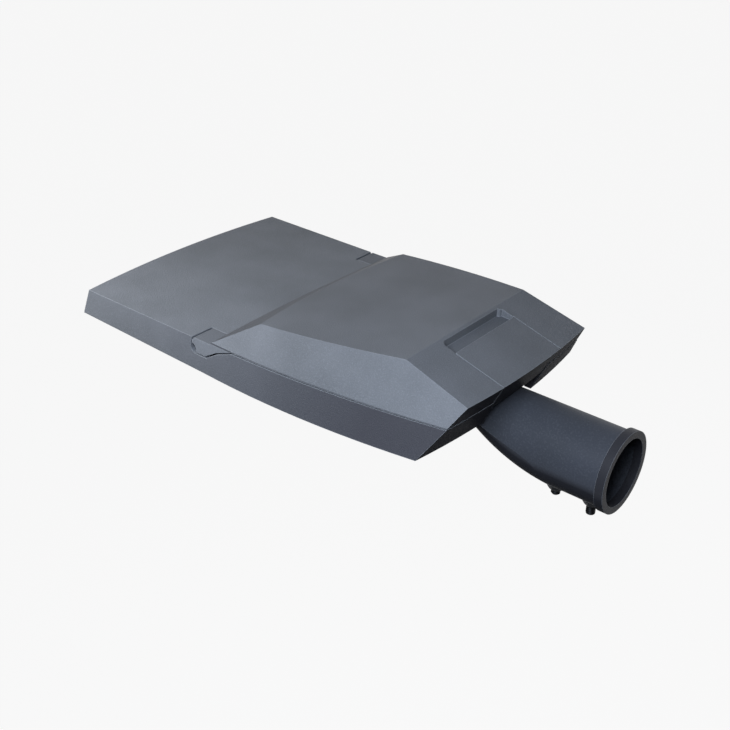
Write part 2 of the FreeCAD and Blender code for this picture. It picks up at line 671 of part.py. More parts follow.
for x, y in FRAME_SPOTS:
    six_spot(spots, x, y, 2.0)
pocket(frame, "frame_holes", spots, 20.0, back=True)
nodes.append(frame)

glass = new_body("led_glass")
plan = new_sketch(glass, "glass_plan", "XY_Plane", glass_low)
rectangle(plan, glass_x0 + 0.4, glass_x1 - 0.4, glass_half - 0.4)
pad(glass, "pane", plan, S.glass_thick)
nodes.append(glass)

glass_seal = new_body("glass_gasket")
plan = new_sketch(glass_seal, "glass_seal_plan", "XY_Plane", glass_low + S.glass_thick)
rectangle(plan, glass_x0 + 0.4, glass_x1 - 0.4, glass_half - 0.4)
rectangle(plan, S.light_front_x + S.light_step, S.light_rear_x - S.light_step,
          S.light_half - S.light_step)
pad(glass_seal, "glass_seal", plan, S.light_ledge_z - glass_low - S.glass_thick)
nodes.append(glass_seal)

board = new_body("led_board")
plan = new_sketch(board, "board_plan", "XY_Plane", S.light_roof_z - S.board_thick)
rectangle(plan, -569.0, -454.0, 121.0)
pad(board, "board", plan, S.board_thick)
spots = new_sketch(board, "board_hole_plan", "XY_Plane", S.light_roof_z - S.board_thick)
for x, y in LENS_SPOTS:
    six_spot(spots, x, y, 1.5)
pocket(board, "board_holes", spots, 5.0, back=True)
nodes.append(board)

EMITTERS = [(-511.5 + 26.0 * (row - 1.5), 26.0 * (column - 3.5))
            for row in range(4) for column in range(8)]
board_low = S.light_roof_z - S.board_thick
nodes.append(group("led_emitters", [block("emitter_%d" % n, 5.0, 5.0, 1.2, x - 2.5, y - 2.5,
                                          board_low - 1.2)
                                    for n, (x, y) in enumerate(EMITTERS)]))

# Lens plate: a sheet with a raised cushion over every emitter and room for it behind
lens_low = board_low - 4.0
sheet_block = block("lens_sheet", 111.0, 238.0, 4.0, -567.0, -119.0, lens_low)
cushions = []
rooms = []
for n, (x, y) in enumerate(EMITTERS):
    cushion = doc.addObject("Part::Wedge", "cushion_%d" % n)
    cushion.Xmin, cushion.Xmax, cushion.X2min, cushion.X2max = -8.0, 8.0, -4.5, 4.5
    cushion.Zmin, cushion.Zmax, cushion.Z2min, cushion.Z2max = -10.0, 10.0, -6.0, 6.0
    cushion.Ymin, cushion.Ymax = 0.0, 4.0
    place(cushion, x, y, lens_low, FreeCAD.Rotation(Vector(1, 0, 0), -90))
    cushions.append(cushion)
    rooms.append(block("emitter_room_%d" % n, 7.0, 7.0, 2.0, x - 3.5, y - 3.5, board_low - 2.0))
lens_holes = [hexagon("lens_hole_%d" % n, 1.5, 6.0, x, y, lens_low - 1.0)
              for n, (x, y) in enumerate(LENS_SPOTS)]
nodes.append(cut("lens", join("lens_solid", [sheet_block] + cushions),
                 join("lens_hollows", rooms + lens_holes), "lens_plate"))


def headed_screws(label, spots, seat, shank, length, head, head_height, sense):
    """Plain screws whose heads sit on a level; sense +1 drives them up, -1 down."""
    pieces = []
    seat = as_size(seat)
    for number, (x, y) in enumerate(spots):
        low = seat if sense > 0 else seat - length
        cap_low = seat - head_height if sense > 0 else seat
        stem = hexagon("%s_stem_%d" % (label, number), shank, length, x, y, low)
        cap = hexagon("%s_cap_%d" % (label, number), head, head_height, x, y, cap_low)
        pieces.append(join("%s_%d" % (label, number), [stem, cap]))
    nodes.append(group(label, pieces))


headed_screws("frame_screws", FRAME_SPOTS, S.frame_low_z, 2.0, 19.0, 3.6, 2.2, 1)
headed_screws("lens_screws", LENS_SPOTS, board_low - 4.0, 1.5, 7.4, 3.0, 2.0, 1)

# Gear tray and what it carries
tray = new_body("gear_tray")
plan = new_sketch(tray, "tray_plan", "XY_Plane", S.tray_z)
rectangle(plan, -383.0, -222.5, 105.0)
pad(tray, "tray_sheet", plan, S.tray_thick)
plan = new_sketch(tray, "tray_flange_plan", "XY_Plane", S.tray_z + S.tray_thick - 0.1)
for sign in (1, -1):
    outline(plan, [(-368.0, 103.5 * sign), (-368.0, 105.0 * sign), (-238.0, 105.0 * sign),
                   (-238.0, 103.5 * sign)])
pad(tray, "tray_flanges", plan, 8.0)
plan = new_sketch(tray, "tray_cut_plan", "XY_Plane", S.tray_z)
outline(plan, [(-294.0, 12.0), (-294.0, 84.0), (-272.0, 84.0), (-272.0, 12.0)])
outline(plan, [(-239.0, -15.0), (-239.0, 15.0), (-221.0, 15.0), (-221.0, -15.0)])
for x, y in TRAY_SPOTS:
    six_spot(plan, x, y, 2.0)
pocket(tray, "tray_cuts", plan, 5.0, back=True)
nodes.append(tray)
tray_top = S.tray_z + S.tray_thick
headed_screws("tray_screws", TRAY_SPOTS, tray_top, 2.0, 5.9, 3.6, 2.2, -1)

driver = new_body("led_driver")
plan = new_sketch(driver, "driver_plan", "XY_Plane", tray_top)
outline(plan, [(-360.0, -68.0), (-360.0, 72.0), (-298.0, 72.0), (-298.0, -68.0)])
pad(driver, "driver_case", plan, 30.0)
section = new_sketch(driver, "driver_ends", "XZ_Plane", -76.0)
outline(section, [(-352.0, tray_top), (-306.0, tray_top), (-306.0, tray_top + 2.0),
                  (-352.0, tray_top + 2.0)])
pad(driver, "driver_foot", section, 156.0, back=True)
plan = new_sketch(driver, "driver_rib_plan", "XY_Plane", tray_top + 30.0)
for number in range(5):
    x = -355.0 + 11.0 * number
    outline(plan, [(x, -66.0), (x, 70.0), (x + 7.0, 70.0), (x + 7.0, -66.0)])
pocket(driver, "driver_flutes", plan, 1.6)
DRIVER_SPOTS = [(-329.0, -72.5), (-329.0, 76.5)]
plan = new_sketch(driver, "driver_hole_plan", "XY_Plane", tray_top)
for x, y in DRIVER_SPOTS:
    six_spot(plan, x, y, 2.0)
pocket(driver, "driver_holes", plan, 4.0, back=True)
nodes.append(driver)
headed_screws("driver_screws", DRIVER_SPOTS, tray_top + 2.0, 2.0, 2.0, 3.3, 2.2, -1)

surge = new_body("surge_protector")
section = new_sketch(surge, "surge_section", "XZ_Plane", -92.0)
outline(section, [(-292.0, tray_top), (-246.0, tray_top), (-246.0, tray_top + 17.0),
                  (-252.0, tray_top + 24.0), (-286.0, tray_top + 24.0),
                  (-292.0, tray_top + 17.0)])
pad(surge, "surge_case", section, 32.0, back=True)
spot = new_sketch(surge, "surge_lamp_plan", "XY_Plane", tray_top + 24.0)
round_spot(spot, -269.0, -76.0, 3.0)
pocket(surge, "surge_window", spot, 1.5)
nodes.append(surge)

terminal = new_body("terminal_block")
section = new_sketch(terminal, "terminal_section", "XZ_Plane", -30.0)
outline(section, [(-264.0, tray_top), (-240.0, tray_top), (-240.0, tray_top + 12.0),
                  (-246.0, tray_top + 12.0), (-246.0, tray_top + 18.0),
                  (-258.0, tray_top + 18.0), (-258.0, tray_top + 12.0),
                  (-264.0, tray_top + 12.0)])
pad(terminal, "terminal_bar", section, 60.0, back=True)
plan = new_sketch(terminal, "terminal_screw_plan", "XY_Plane", tray_top + 18.0)
for number in range(5):
    y = -24.0 + 12.0 * number
    outline(plan, [(-255.0, y - 3.0), (-249.0, y - 3.0), (-249.0, y + 3.0), (-255.0, y + 3.0)])
pocket(terminal, "terminal_wells", plan, 6.0)
plan = new_sketch(terminal, "terminal_entry_plan", "YZ_Plane", -264.0)
for number in range(5):
    y = -24.0 + 12.0 * number
    outline(plan, [(y - 3.0, tray_top + 3.0), (y + 3.0, tray_top + 3.0),
                   (y + 3.0, tray_top + 9.0), (y - 3.0, tray_top + 9.0)])
pocket(terminal, "terminal_entries", plan, 7.0, back=True)
nodes.append(terminal)

# Cable gland in the bay's front wall, with its hexagon and cap inside the compartment
front = S.bay_front_x
gland_nut = hexagon("gland_hex", 13.0, 6.0, front - 6.0, 0, GLAND_Z, TO_X)
dome = rod("gland_cap", 10.0, 14.0, front - 20.0, 0, GLAND_Z, TO_X)
thread = rod("gland_thread", 8.0, 10.5, front - 1.0, 0, GLAND_Z, TO_X)
collar = rod("gland_collar", 11.0, 1.8, S.bay_inner_x, 0, GLAND_Z, TO_X)
gland_solid = join("gland_solid", [gland_nut, dome, thread, collar])
gland_bore = rod("gland_way", 4.5, 60.0, front - 30.0, 0, GLAND_Z, TO_X)
nodes.append(cut("gland", gland_solid, gland_bore, "cable_gland"))

vent_stem = rod("vent_stem", 6.0, S.well_floor_z - S.under_z, VENT[0], VENT[1], S.under_z)
vent_head = hexagon("vent_head", 9.0, 3.0, VENT[0], VENT[1], S.well_floor_z)
vent_solid = join("vent_solid", [vent_stem, vent_head])
vent_way = rod("vent_way", 2.5, 5.0, VENT[0], VENT[1], S.under_z - 1.0)
nodes.append(cut("vent", vent_solid, vent_way, "breather_vent"))

# Hinge pins of the cover, tilt bolts and their washers
pins = [rod("hinge_pin_%d" % n, S.hinge_pin_radius, S.hinge_pin_outer - S.hinge_pin_inner,
            S.axis_x, y, S.axis_z, TO_Y)
        for n, y in enumerate((S.hinge_pin_inner, -S.hinge_pin_outer))]
nodes.append(group("hinge_pins", pins))
bolts = []
washers = []
for n, sign in enumerate((1, -1)):
    washer_y = S.bay_half if sign > 0 else -S.bay_half - 1.6
    head_y = S.bay_half + 1.6 if sign > 0 else -S.bay_half - 7.0
    stem_y = S.sleeve_inner + 6.6 if sign > 0 else -S.bay_half - 1.6
    stem = rod("bolt_stem_%d" % n, S.pivot_bolt_radius, S.bay_half - S.sleeve_inner - 5.0,
               S.pivot_x, stem_y, S.pivot_z, TO_Y)
    cap = hexagon("bolt_cap_%d" % n, 7.4, 5.4, S.pivot_x, head_y, S.pivot_z, TO_Y)
    bolts.append(join("pivot_bolt_%d" % n, [stem, cap]))
    disc = rod("washer_disc_%d" % n, 8.4, 1.6, S.pivot_x, washer_y, S.pivot_z, TO_Y)
    eye = rod("washer_eye_%d" % n, S.pivot_bolt_radius, 4.0, S.pivot_x, washer_y - 1.0, S.pivot_z,
              TO_Y)
    washers.append(cut("washer_%d" % n, disc, eye))
nodes.append(group("pivot_bolts", bolts))
nodes.append(group("pivot_washers", washers))

# Gear cover
cover = new_body("gear_cover")
low = new_sketch(cover, "hood_foot", "XY_Plane", S.cover_z)
half = [(S.foot_x, S.foot_half), (S.tail_x + 2.0, S.tail_half),
        (S.slope_foot_x, S.slope_foot_half)]
outline(low, half + mirrored(half), {0: (S.rim_bow, -1), 4: (S.rim_bow, -1), 5: (S.foot_bow, -1)})


def tilted_sketch(body, name, depth):
    """A sketch on the hood's sloping top, or that far below it, measured from its front."""
    sketch = new_sketch(body, name, "XY_Plane", S.hood_z)
    angle = math.radians(S.hood_slope.value)
    spot = Vector(S.hood_x.value + depth * math.sin(angle), 0,
                  S.hood_z.value - depth * math.cos(angle))
    sketch.AttachmentOffset = FreeCAD.Placement(
        spot, FreeCAD.Rotation(Vector(0, 1, 0), -S.hood_slope.value))
    bind(sketch, "AttachmentOffset.Base.x", S.hood_x + depth * math.sin(angle))
    bind(sketch, "AttachmentOffset.Base.z", S.hood_z - depth * math.cos(angle))
    return sketch


high = tilted_sketch(cover, "hood_top", 0.0)
half = [(0.0, S.hood_half), (S.bend_run, S.bend_half), (S.top_run, S.top_tail_half)]
outline(high, half + mirrored(half),
        {0: (S.ridge_bow, -1), 4: (S.ridge_bow, -1), 5: (S.hood_front_bow, -1)})
loft(cover, "hood", low, high)
rear_wall(cover, "hood")

low = new_sketch(cover, "void_rim", "XY_Plane", S.cover_z)
half = [(S.void_front_x, S.void_front_half), (S.void_wide_x, S.void_wide_half),
        (S.void_mid_x, S.void_mid_half), (S.void_tail_x, S.void_tail_half),
        (S.void_tail_x, S.skirt_half), (S.skirt_front_x, S.skirt_half)]
outline(low, half + mirrored(half))
high = tilted_sketch(cover, "void_top", S.shell.value)
half = [(S.void_top_front, S.void_top_half), (S.void_top_wide, S.void_top_wide_half),
        (S.void_top_mid, S.void_top_mid_half), (S.void_top_tail, S.void_top_tail_half),
        (S.void_top_tail, S.skirt_half), (S.skirt_front_x - S.hood_x, S.skirt_half)]
outline(high, half + mirrored(half))
loft(cover, "hood_void", low, high, cut=True)
for sign in (1, -1):
    word = "far" if sign > 0 else "near"
    wedge = new_sketch(cover, "slope_void_" + word, "XZ_Plane", S.skirt_half * sign)
    outline(wedge, [(-196.0, 90.0), (-190.0, 90.6), (-117.0, 70.3), (-128.3, 50.0),
                    (-139.0, 50.0)])
    pocket(cover, "slope_cut_" + word, wedge, 41.0, back=sign < 0)

# Latch well: finger recess, seat of the flap, and the room under its floor
side = new_sketch(cover, "scoop_section", "XZ_Plane")
outline(side, [(S.scoop_x + 4.0, 97.0), (S.scoop_x + 4.0, 84.4), (-167.0, 83.3), (-160.0, 77.5),
               (-155.0, 76.1), (-155.0, 97.0)])
pocket(cover, "scoop", side, S.scoop_half * 2, both=True)
plan = new_sketch(cover, "scoop_front", "XY_Plane", 97.0)
outline(plan, [(S.scoop_x + 8.0, S.scoop_half), (S.scoop_x + S.scoop_round, S.scoop_half),
               (S.scoop_x, S.scoop_half - S.scoop_round),
               (S.scoop_x, S.scoop_round - S.scoop_half),
               (S.scoop_x + S.scoop_round, -S.scoop_half), (S.scoop_x + 8.0, -S.scoop_half)],
        {1: (S.scoop_round, -1), 3: (S.scoop_round, -1)})
pocket(cover, "scoop_end", plan, 12.6)
side = new_sketch(cover, "flap_seat_section", "XZ_Plane")
outline(side, [(S.lip_x - 1.1, 97.0), (S.lip_x - 1.1, 83.2), (-160.0, 77.5), (-138.0, 71.4),
               (-138.0, 45.0), (-90.0, 45.0), (-90.0, 97.0)])
pocket(cover, "flap_seat", side, S.latch_well_half * 2, both=True)
side = new_sketch(cover, "under_floor_section", "XZ_Plane")
outline(side, [(S.skirt_back_x, 45.0), (S.skirt_back_x, 87.5), (-190.0, 88.5), (-187.0, 81.4),
               (-167.0, 80.0), (-160.5, 74.2), (-138.0, 68.0), (-138.0, 45.0)])
pocket(cover, "under_floor", side, S.latch_well_half * 2, both=True)

# Hinge ears and the webs that run from them to the rim
for sign in (1, -1):
    word = "far" if sign > 0 else "near"
    ear = new_sketch(cover, "ear_" + word, "XZ_Plane", S.ear_inner * sign)
    outline(ear, [(S.ear_front_x + 2.0, S.panel_z), (S.ear_front_x, S.panel_z - 2.0),
                  (S.ear_front_x, S.ear_low_z + S.ear_round),
                  (S.ear_front_x + S.ear_round, S.ear_low_z), (-405.0, S.ear_low_z),
                  (-399.0, S.cover_z), (-393.0, S.cover_z), (-394.0, 52.0), (-399.5, 52.0),
                  (-402.5, S.panel_z)],
            {0: (as_size(2.0), -1), 2: (S.ear_round, -1)})
    pad(cover, "ear_block_" + word, ear, 36.0, back=sign > 0)
    web = new_sketch(cover, "web_" + word, "XZ_Plane", S.web_inner * sign)
    outline(web, [(-405.0, S.ear_low_z), (-390.0, 44.7), (-371.0, S.cover_z), (-371.5, 52.0),
                  (-399.5, 52.0), (-402.5, S.panel_z)])
    pad(cover, "web_block_" + word, web, 14.0, back=sign > 0)
    flare = new_sketch(cover, "flare_" + word, "YZ_Plane", -430.0)
    outline(flare, [(145.7 * sign, 52.2), (146.8 * sign, S.cover_z), (147.4 * sign, S.panel_z),
                    (151.5 * sign, 36.0), (152.0 * sign, 34.0), (170.0 * sign, 34.0),
                    (170.0 * sign, 52.2)])
    pocket(cover, "flare_cut_" + word, flare, 64.0, back=True)
    spot = new_sketch(cover, "ear_hole_" + word, "XZ_Plane", (S.ear_inner - 1.0) * sign)
    round_spot(spot, S.axis_x, S.axis_z, S.hinge_pin_radius + S.pin_fit)
    pocket(cover, "ear_bore_" + word, spot, S.hinge_pin_outer - S.ear_inner + 2.5, back=sign < 0)
    spot = new_sketch(cover, "latch_hole_" + word, "XZ_Plane", (S.latch_well_half - 1.0) * sign)
    round_spot(spot, S.latch_x, S.latch_z, S.latch_pin_radius)
    pocket(cover, "latch_bore_" + word, spot, S.skirt_half - S.latch_well_half + 0.8,
           back=sign < 0)
    rib = new_sketch(cover, "top_rib_" + word, "XZ_Plane", 58.0 * sign)
    outline(rib, [(-344.0, 75.0), (-340.0, 71.0), (-222.0, 82.2), (-216.0, 84.0), (-216.0, 88.6),
                  (-344.0, 76.6)])
    pad(cover, "top_stiffener_" + word, rib, 2.6, back=sign > 0)
nodes.append(cover)

# Latch flap: plate in the slope, apron down the rear wall, eyes on the pin, two hooks
lever = new_body("latch_lever")
side = new_sketch(lever, "flap_section", "XZ_Plane")
slope = 0.2803
drop = 1.0386 * S.flap_thick.value


def slope_z(x):
    """Height of the hood's rear slope."""
    return 94.1 - slope * (x + 187.0)


outline(side, [(S.lip_x, slope_z(S.lip_x.value)), (-98.0, slope_z(-98.0)), (-98.0, S.flap_low_z),
               (-127.4, S.flap_low_z), (-112.6, slope_z(-112.6) - drop),
               (S.lip_x + 0.8, slope_z(S.lip_x.value + 0.8) - drop)])
pad(lever, "flap", side, S.flap_half * 2, both=True)
rear_wall(lever, "flap")
for sign in (1, -1):
    word = "far" if sign > 0 else "near"
    taper = new_sketch(lever, "apron_side_" + word, "YZ_Plane", -136.0)
    outline(taper, [(S.flap_half * sign, 72.5), (S.flap_low_half * sign, S.flap_low_z),
                    (46.0 * sign, 38.0), (60.0 * sign, 38.0), (60.0 * sign, 72.5)])
    pocket(lever, "apron_trim_" + word, taper, 50.0, back=True)
    arm = new_sketch(lever, "hook_" + word, "XZ_Plane", S.hook_inner * sign)
    px, pz = S.latch_x.value, S.latch_z.value

    def polar(radius, degrees):
        turn_to = math.radians(degrees)
        return (S.latch_x + radius * math.cos(turn_to), S.latch_z + radius * math.sin(turn_to))

    r_in = S.hook_inner_radius
    r_out = S.hook_outer_radius
    outline(arm, [polar(as_size(6.2), -60.0), polar(as_size(8.0), -108.0), polar(r_in, -131.0),
                  polar(r_in, -120.0), polar(r_in, -108.5), polar(r_out, -110.0),
                  polar(r_out, -121.0), polar(r_out, -132.0), polar(r_out, -141.0),
                  polar(as_size(8.0), -158.0), (-128.5, 70.0), (-143.0, 79.8),
                  (-112.9, 72.2), (-113.8, 66.0)])
    pad(lever, "hook_arm_" + word, arm, S.hook_outer - S.hook_inner, back=sign > 0)
spot = new_sketch(lever, "eye_hole", "XZ_Plane")
round_spot(spot, S.latch_x, S.latch_z, S.latch_pin_radius + S.pin_fit)
pocket(lever, "eye_bore", spot, 120.0, both=True)
nodes.append(lever)

nodes.append(group("latch_pin", [rod("latch_axle", S.latch_pin_radius, 113.4, S.latch_x, -56.7,
                                     S.latch_z, TO_Y)]))
coil_solid = rod("coil_solid", 5.0, 14.0, S.latch_x, -7.0, S.latch_z, TO_Y)
leg = rod("coil_leg", 0.8, 17.0, S.latch_x - 17.0, 5.5, S.latch_z - 4.0, TO_X)
coil_all = join("coil_all", [coil_solid, leg])
coil_way = rod("coil_way", 3.4, 20.0, S.latch_x, -10.0, S.latch_z, TO_Y)
nodes.append(cut("coil", coil_all, coil_way, "latch_spring"))
doc.recompute()

# Checks, then one file for each piece
for item in doc.Objects:
    if "Invalid" in item.State or "Error" in item.State:
        raise ValueError("failed: %s %s" % (item.Name, item.State))
for node in nodes:
    if node.Shape.isNull() or not node.Shape.isValid() or not node.Shape.Solids:
        raise ValueError("bad shape: " + node.Label)
os.makedirs("parts", exist_ok=True)
for node in nodes:
    node.Shape.exportStep("parts/%s.step" % node.Label)
    box = node.Shape.BoundBox
    print("%-16s solids %2d volume %9.0f x %7.1f %7.1f y %7.1f %7.1f z %6.1f %6.1f" % (
        node.Label, len(node.Shape.Solids), node.Shape.Volume, box.XMin, box.XMax, box.YMin,
        box.YMax, box.ZMin, box.ZMax))
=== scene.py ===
import math

import bpy
import numpy as np
from mathutils import Matrix, Vector


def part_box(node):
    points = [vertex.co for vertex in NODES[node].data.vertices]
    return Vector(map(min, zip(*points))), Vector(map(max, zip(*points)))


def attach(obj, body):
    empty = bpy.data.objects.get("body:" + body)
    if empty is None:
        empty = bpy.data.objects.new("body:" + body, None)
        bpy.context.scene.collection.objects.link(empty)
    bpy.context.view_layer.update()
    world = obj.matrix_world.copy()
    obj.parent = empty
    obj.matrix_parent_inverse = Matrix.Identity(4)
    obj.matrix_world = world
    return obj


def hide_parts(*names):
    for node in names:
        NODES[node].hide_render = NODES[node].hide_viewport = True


bl_info = {
    "name": "Street Light Head",
    "version": (1, 0, 0),
    "blender": (4, 5, 0),
    "location": "View3D > Sidebar > Street Light",
    "description": "Coats the street light head and fits its threads, coil, lenses and screws",
    "category": "Object",
}

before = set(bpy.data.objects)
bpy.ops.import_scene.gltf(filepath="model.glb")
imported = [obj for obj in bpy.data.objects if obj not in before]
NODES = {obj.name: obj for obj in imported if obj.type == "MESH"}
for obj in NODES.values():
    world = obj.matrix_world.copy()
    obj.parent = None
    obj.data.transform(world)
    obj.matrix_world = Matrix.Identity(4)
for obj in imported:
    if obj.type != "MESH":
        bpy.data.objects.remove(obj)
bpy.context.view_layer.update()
MM = 0.001

# Places that the part's own solids give: the seam's middle height, the inner edge of the rim
# round the adapter's mouth, and the clamp screws along the adapter with their lower ends
SEAM = 50.6 * MM
RIM = -9.0 * MM
CLAMP_X = (-68.0 * MM, -28.0 * MM)
CLAMP_ENDS = (-55.5 * MM, -60.5 * MM)

# The lenses stand over the emitters: the middle of the array, its spacing and its counts
LENS_MIDDLE = -511.5 * MM
LENS_PITCH = 26.0 * MM
LENS_ROWS, LENS_COLUMNS = 4, 8

# Small screws by node, in mm: radius of the shank, radius and height of the head, which way the
# head points, and the rows of places along X and along Y
SMALL_SCREWS = {
    "frame_screws": (2.0, 3.5, 2.2, "down", (-582.0, -441.0), (-134.0, -45.0, 45.0, 134.0)),
    "lens_screws": (1.5, 2.9, 2.0, "down", (-562.0, -461.0), (-116.0, 0.0, 116.0)),
    "tray_screws": (2.0, 3.5, 2.2, "up", (-376.0, -230.0), (-95.0, 95.0)),
    "driver_screws": (2.0, 3.2, 2.2, "up", (-329.0,), (-72.5, 76.5)),
}

# A pan head's side from its seat to its top: share of the radius, share of the height
PAN_HEAD = ((1.0, 0.0), (1.0, 0.35), (0.95, 0.66), (0.83, 0.88), (0.64, 1.0))

# Lamps: name, place in metres, width and height in metres, power in watts and colour. They all
# face one point on the head
LAMPS = (
    ("key_softbox", (0.0, -0.58, 0.49), 0.4, 0.3, 5.3, "#EAF3FF"),
    ("front_softbox", (-0.76, -0.36, 0.30), 0.2, 0.2, 1.85, "#FFFFFF"),
    ("far_softbox", (0.04, 1.95, 0.33), 0.8, 0.8, 6.5, "#FFFFFF"),
)
LAMPS_AIM = (-0.3, 0.0, 0.03)


def linear(shade):
    """The sRGB hex colour as linear red, green, blue and an alpha of one."""
    parts = [int(shade[i:i + 2], 16) / 255.0 for i in (1, 3, 5)]
    return tuple(p / 12.92 if p <= 0.04045 else ((p + 0.055) / 1.055) ** 2.4
                 for p in parts) + (1.0,)


def colour_prop(name, description, shade):
    return bpy.props.FloatVectorProperty(name=name, description=description, subtype="COLOR",
                                         size=4, min=0.0, max=1.0, default=linear(shade))


def length_prop(name, description, metres):
    return bpy.props.FloatProperty(name=name, description=description, subtype="DISTANCE",
                                   unit="LENGTH", min=0.0, precision=5, default=metres)


def angle_prop(name, description, degrees):
    return bpy.props.FloatProperty(name=name, description=description, subtype="ANGLE",
                                   default=math.radians(degrees))


def share_prop(name, description, share):
    return bpy.props.FloatProperty(name=name, description=description, subtype="FACTOR",
                                   min=0.0, max=1.0, default=share)


# Surfaces worked out as grids

def closed_mesh(name, shells, sharp=40.0):
    """One mesh from closed shells, each a grid of rows x columns x 3 whose columns join round.

    Shells marked "poles" are closed at the middle of their first and last rows; shells marked
    "ring" join their last row to the first. Vertices are numbered row by row, so a quad takes
    the numbers n, n + 1, n + columns + 1 and n + columns, with the column count wrapped.
    """
    points, faces, start = [], [], 0
    for grid, ends in shells:
        rows, columns = grid.shape[:2]
        index = start + np.arange(rows * columns).reshape(rows, columns)
        beside = np.roll(index, -1, axis=1)
        above, across = np.roll(index, -1, axis=0), np.roll(beside, -1, axis=0)
        quads = np.stack([index, beside, across, above], axis=-1)
        if ends == "poles":
            quads = quads[:-1]
        faces += quads.reshape(-1, 4).tolist()
        points.append(grid.reshape(-1, 3))
        start += rows * columns
        if ends == "poles":
            points.append(np.stack([grid[0].mean(axis=0), grid[-1].mean(axis=0)]))
            low = np.full(columns, start)
            faces += np.stack([low, beside[0], index[0]], axis=-1).tolist()
            faces += np.stack([low + 1, index[-1], beside[-1]], axis=-1).tolist()
            start += 2
    mesh = bpy.data.meshes.new(name)
    mesh.from_pydata(np.concatenate(points).tolist(), [], faces)
    mesh.validate()
    mesh.shade_smooth()
    mesh.set_sharp_from_angle(angle=math.radians(sharp))
    piece = bpy.data.objects.new(name, mesh)
    bpy.context.scene.collection.objects.link(piece)
    return piece


def hexed(angles):
    """Reach of a hexagon whose flats lie at 1: 1 / cos(a), with a folded to 30 degrees."""
    folded = (angles + math.pi / 6) % (math.pi / 3) - math.pi / 6
    return 1.0 / np.cos(folded)


def turned(rows, columns, pitch=0.0, depth=0.0):
    """A profile turned about +Z, some of its rows six-sided and some cut with a thread.

    Each row is (radius, height, six-sidedness, threadedness). A point at angle a lies at radius
    r * (1 + s * (hexagon(a) - 1)) - t * depth * v, where v is a triangle wave, cut flat at both
    ends, of the height over the pitch less a / (2 pi), so that the groove climbs one pitch in
    each turn.
    """
    r, z, s, t = (np.array(column, float)[:, None] for column in zip(*rows))
    a = np.linspace(0.0, 2 * math.pi, columns, endpoint=False)[None, :]
    reach = r * (1.0 + s * (hexed(a) - 1.0))
    if pitch:
        phase = (z / pitch - a / (2 * math.pi)) % 1.0
        reach = reach - t * depth * np.clip(1.25 - 2.5 * np.abs(phase - 0.5), 0.0, 1.0)
    return np.stack([reach * np.cos(a), reach * np.sin(a), z + 0.0 * a], axis=-1)


def turned_over(grid):
    """The grid turned half round about X, so that what pointed up points down."""
    return grid * np.array([1.0, -1.0, -1.0])


def swept(path, radius, columns, across=(0.0, 1.0, 0.0)):
    """A round wire along a path of points.

    At angle a its section lies at radius * (cos(a) * side + sin(a) * over), where side is the
    path's direction x across, and over is that direction x side, both of length 1.
    """
    run = np.gradient(path, axis=0)
    run /= np.linalg.norm(run, axis=1, keepdims=True)
    side = np.cross(run, np.array(across))
    side /= np.linalg.norm(side, axis=1, keepdims=True)
    over = np.cross(run, side)
    a = np.linspace(0.0, 2 * math.pi, columns, endpoint=False)[None, :, None]
    ring = np.cos(a) * side[:, None, :] + np.sin(a) * over[:, None, :]
    return path[:, None, :] + radius * ring


def slab(x, y, low, high, round_off, edge, columns=12):
    """A plate with rounded corners and softened edges.

    The outline at angle a is the corner centre of its quadrant plus the corner radius times
    (cos a, sin a). The rows draw that outline in by the edge radius at both faces.
    """
    quadrant = np.repeat(np.arange(4), columns)
    a = (quadrant + np.tile(np.linspace(0.0, 1.0, columns), 4)) * math.pi / 2
    sign_x = np.array([1, -1, -1, 1])[quadrant]
    sign_y = np.array([1, 1, -1, -1])[quadrant]
    corner_x = (x[0] + x[1]) / 2 + sign_x * ((x[1] - x[0]) / 2 - round_off)
    corner_y = (y[0] + y[1]) / 2 + sign_y * ((y[1] - y[0]) / 2 - round_off)
    near = edge * 0.3
    rows = []
    for inset, z in ((edge, low), (near, low + near), (0.0, low + edge),
                     (0.0, high - edge), (near, high - near), (edge, high)):
        reach = round_off - inset
        rows.append(np.stack([corner_x + reach * np.cos(a), corner_y + reach * np.sin(a),
                              np.full(a.shape, z)], axis=-1))
    return np.stack(rows)


# Materials

def add_node(tree, kind, settings, links=None):
    """Adds one node. Settings are socket names or numbers, or else attributes of the node;
    links give the output that feeds a socket."""
    item = tree.nodes.new(kind)
    for key, value in settings.items():
        if isinstance(key, int) or key in item.inputs:
            item.inputs[key].default_value = value
        else:
            setattr(item, key, value)
    for key, source in (links or {}).items():
        tree.links.new(source, item.inputs[key])
    return item


def start_material(name, **surface):
    """A material with one Principled shader; constants sit on the shader's own sockets."""
    material = bpy.data.materials.new(name)
    material.use_nodes = True
    tree = material.node_tree
    tree.nodes.clear()
    shader = add_node(tree, "ShaderNodeBsdfPrincipled",
                      {key.replace("_", " ").title().replace("Ior", "IOR"): value
                       for key, value in surface.items()})
    add_node(tree, "ShaderNodeOutputMaterial", {}, {"Surface": shader.outputs[0]})
    place = add_node(tree, "ShaderNodeTexCoord", {}).outputs["Object"]
    return material, tree, shader, place


def product(tree, first, second):
    """One grey value times another."""
    return add_node(tree, "ShaderNodeMath", {"operation": "MULTIPLY"},
                    {0: first, 1: second}).outputs[0]


def show_mix(tree, factor, first, second):
    """Feeds the material's output with a mix of two shaders."""
    both = add_node(tree, "ShaderNodeMixShader", {}, {0: factor, 1: first, 2: second})
    end = next(node for node in tree.nodes if node.type == "OUTPUT_MATERIAL")
    tree.links.new(both.outputs[0], end.inputs["Surface"])


def spread(tree, source, low, high, to_low, to_high):
    """Maps a grey value between two limits to another pair, and holds it there."""
    return add_node(tree, "ShaderNodeMapRange", {"clamp": True, 1: low, 2: high, 3: to_low,
                                                 4: to_high}, {0: source}).outputs[0]


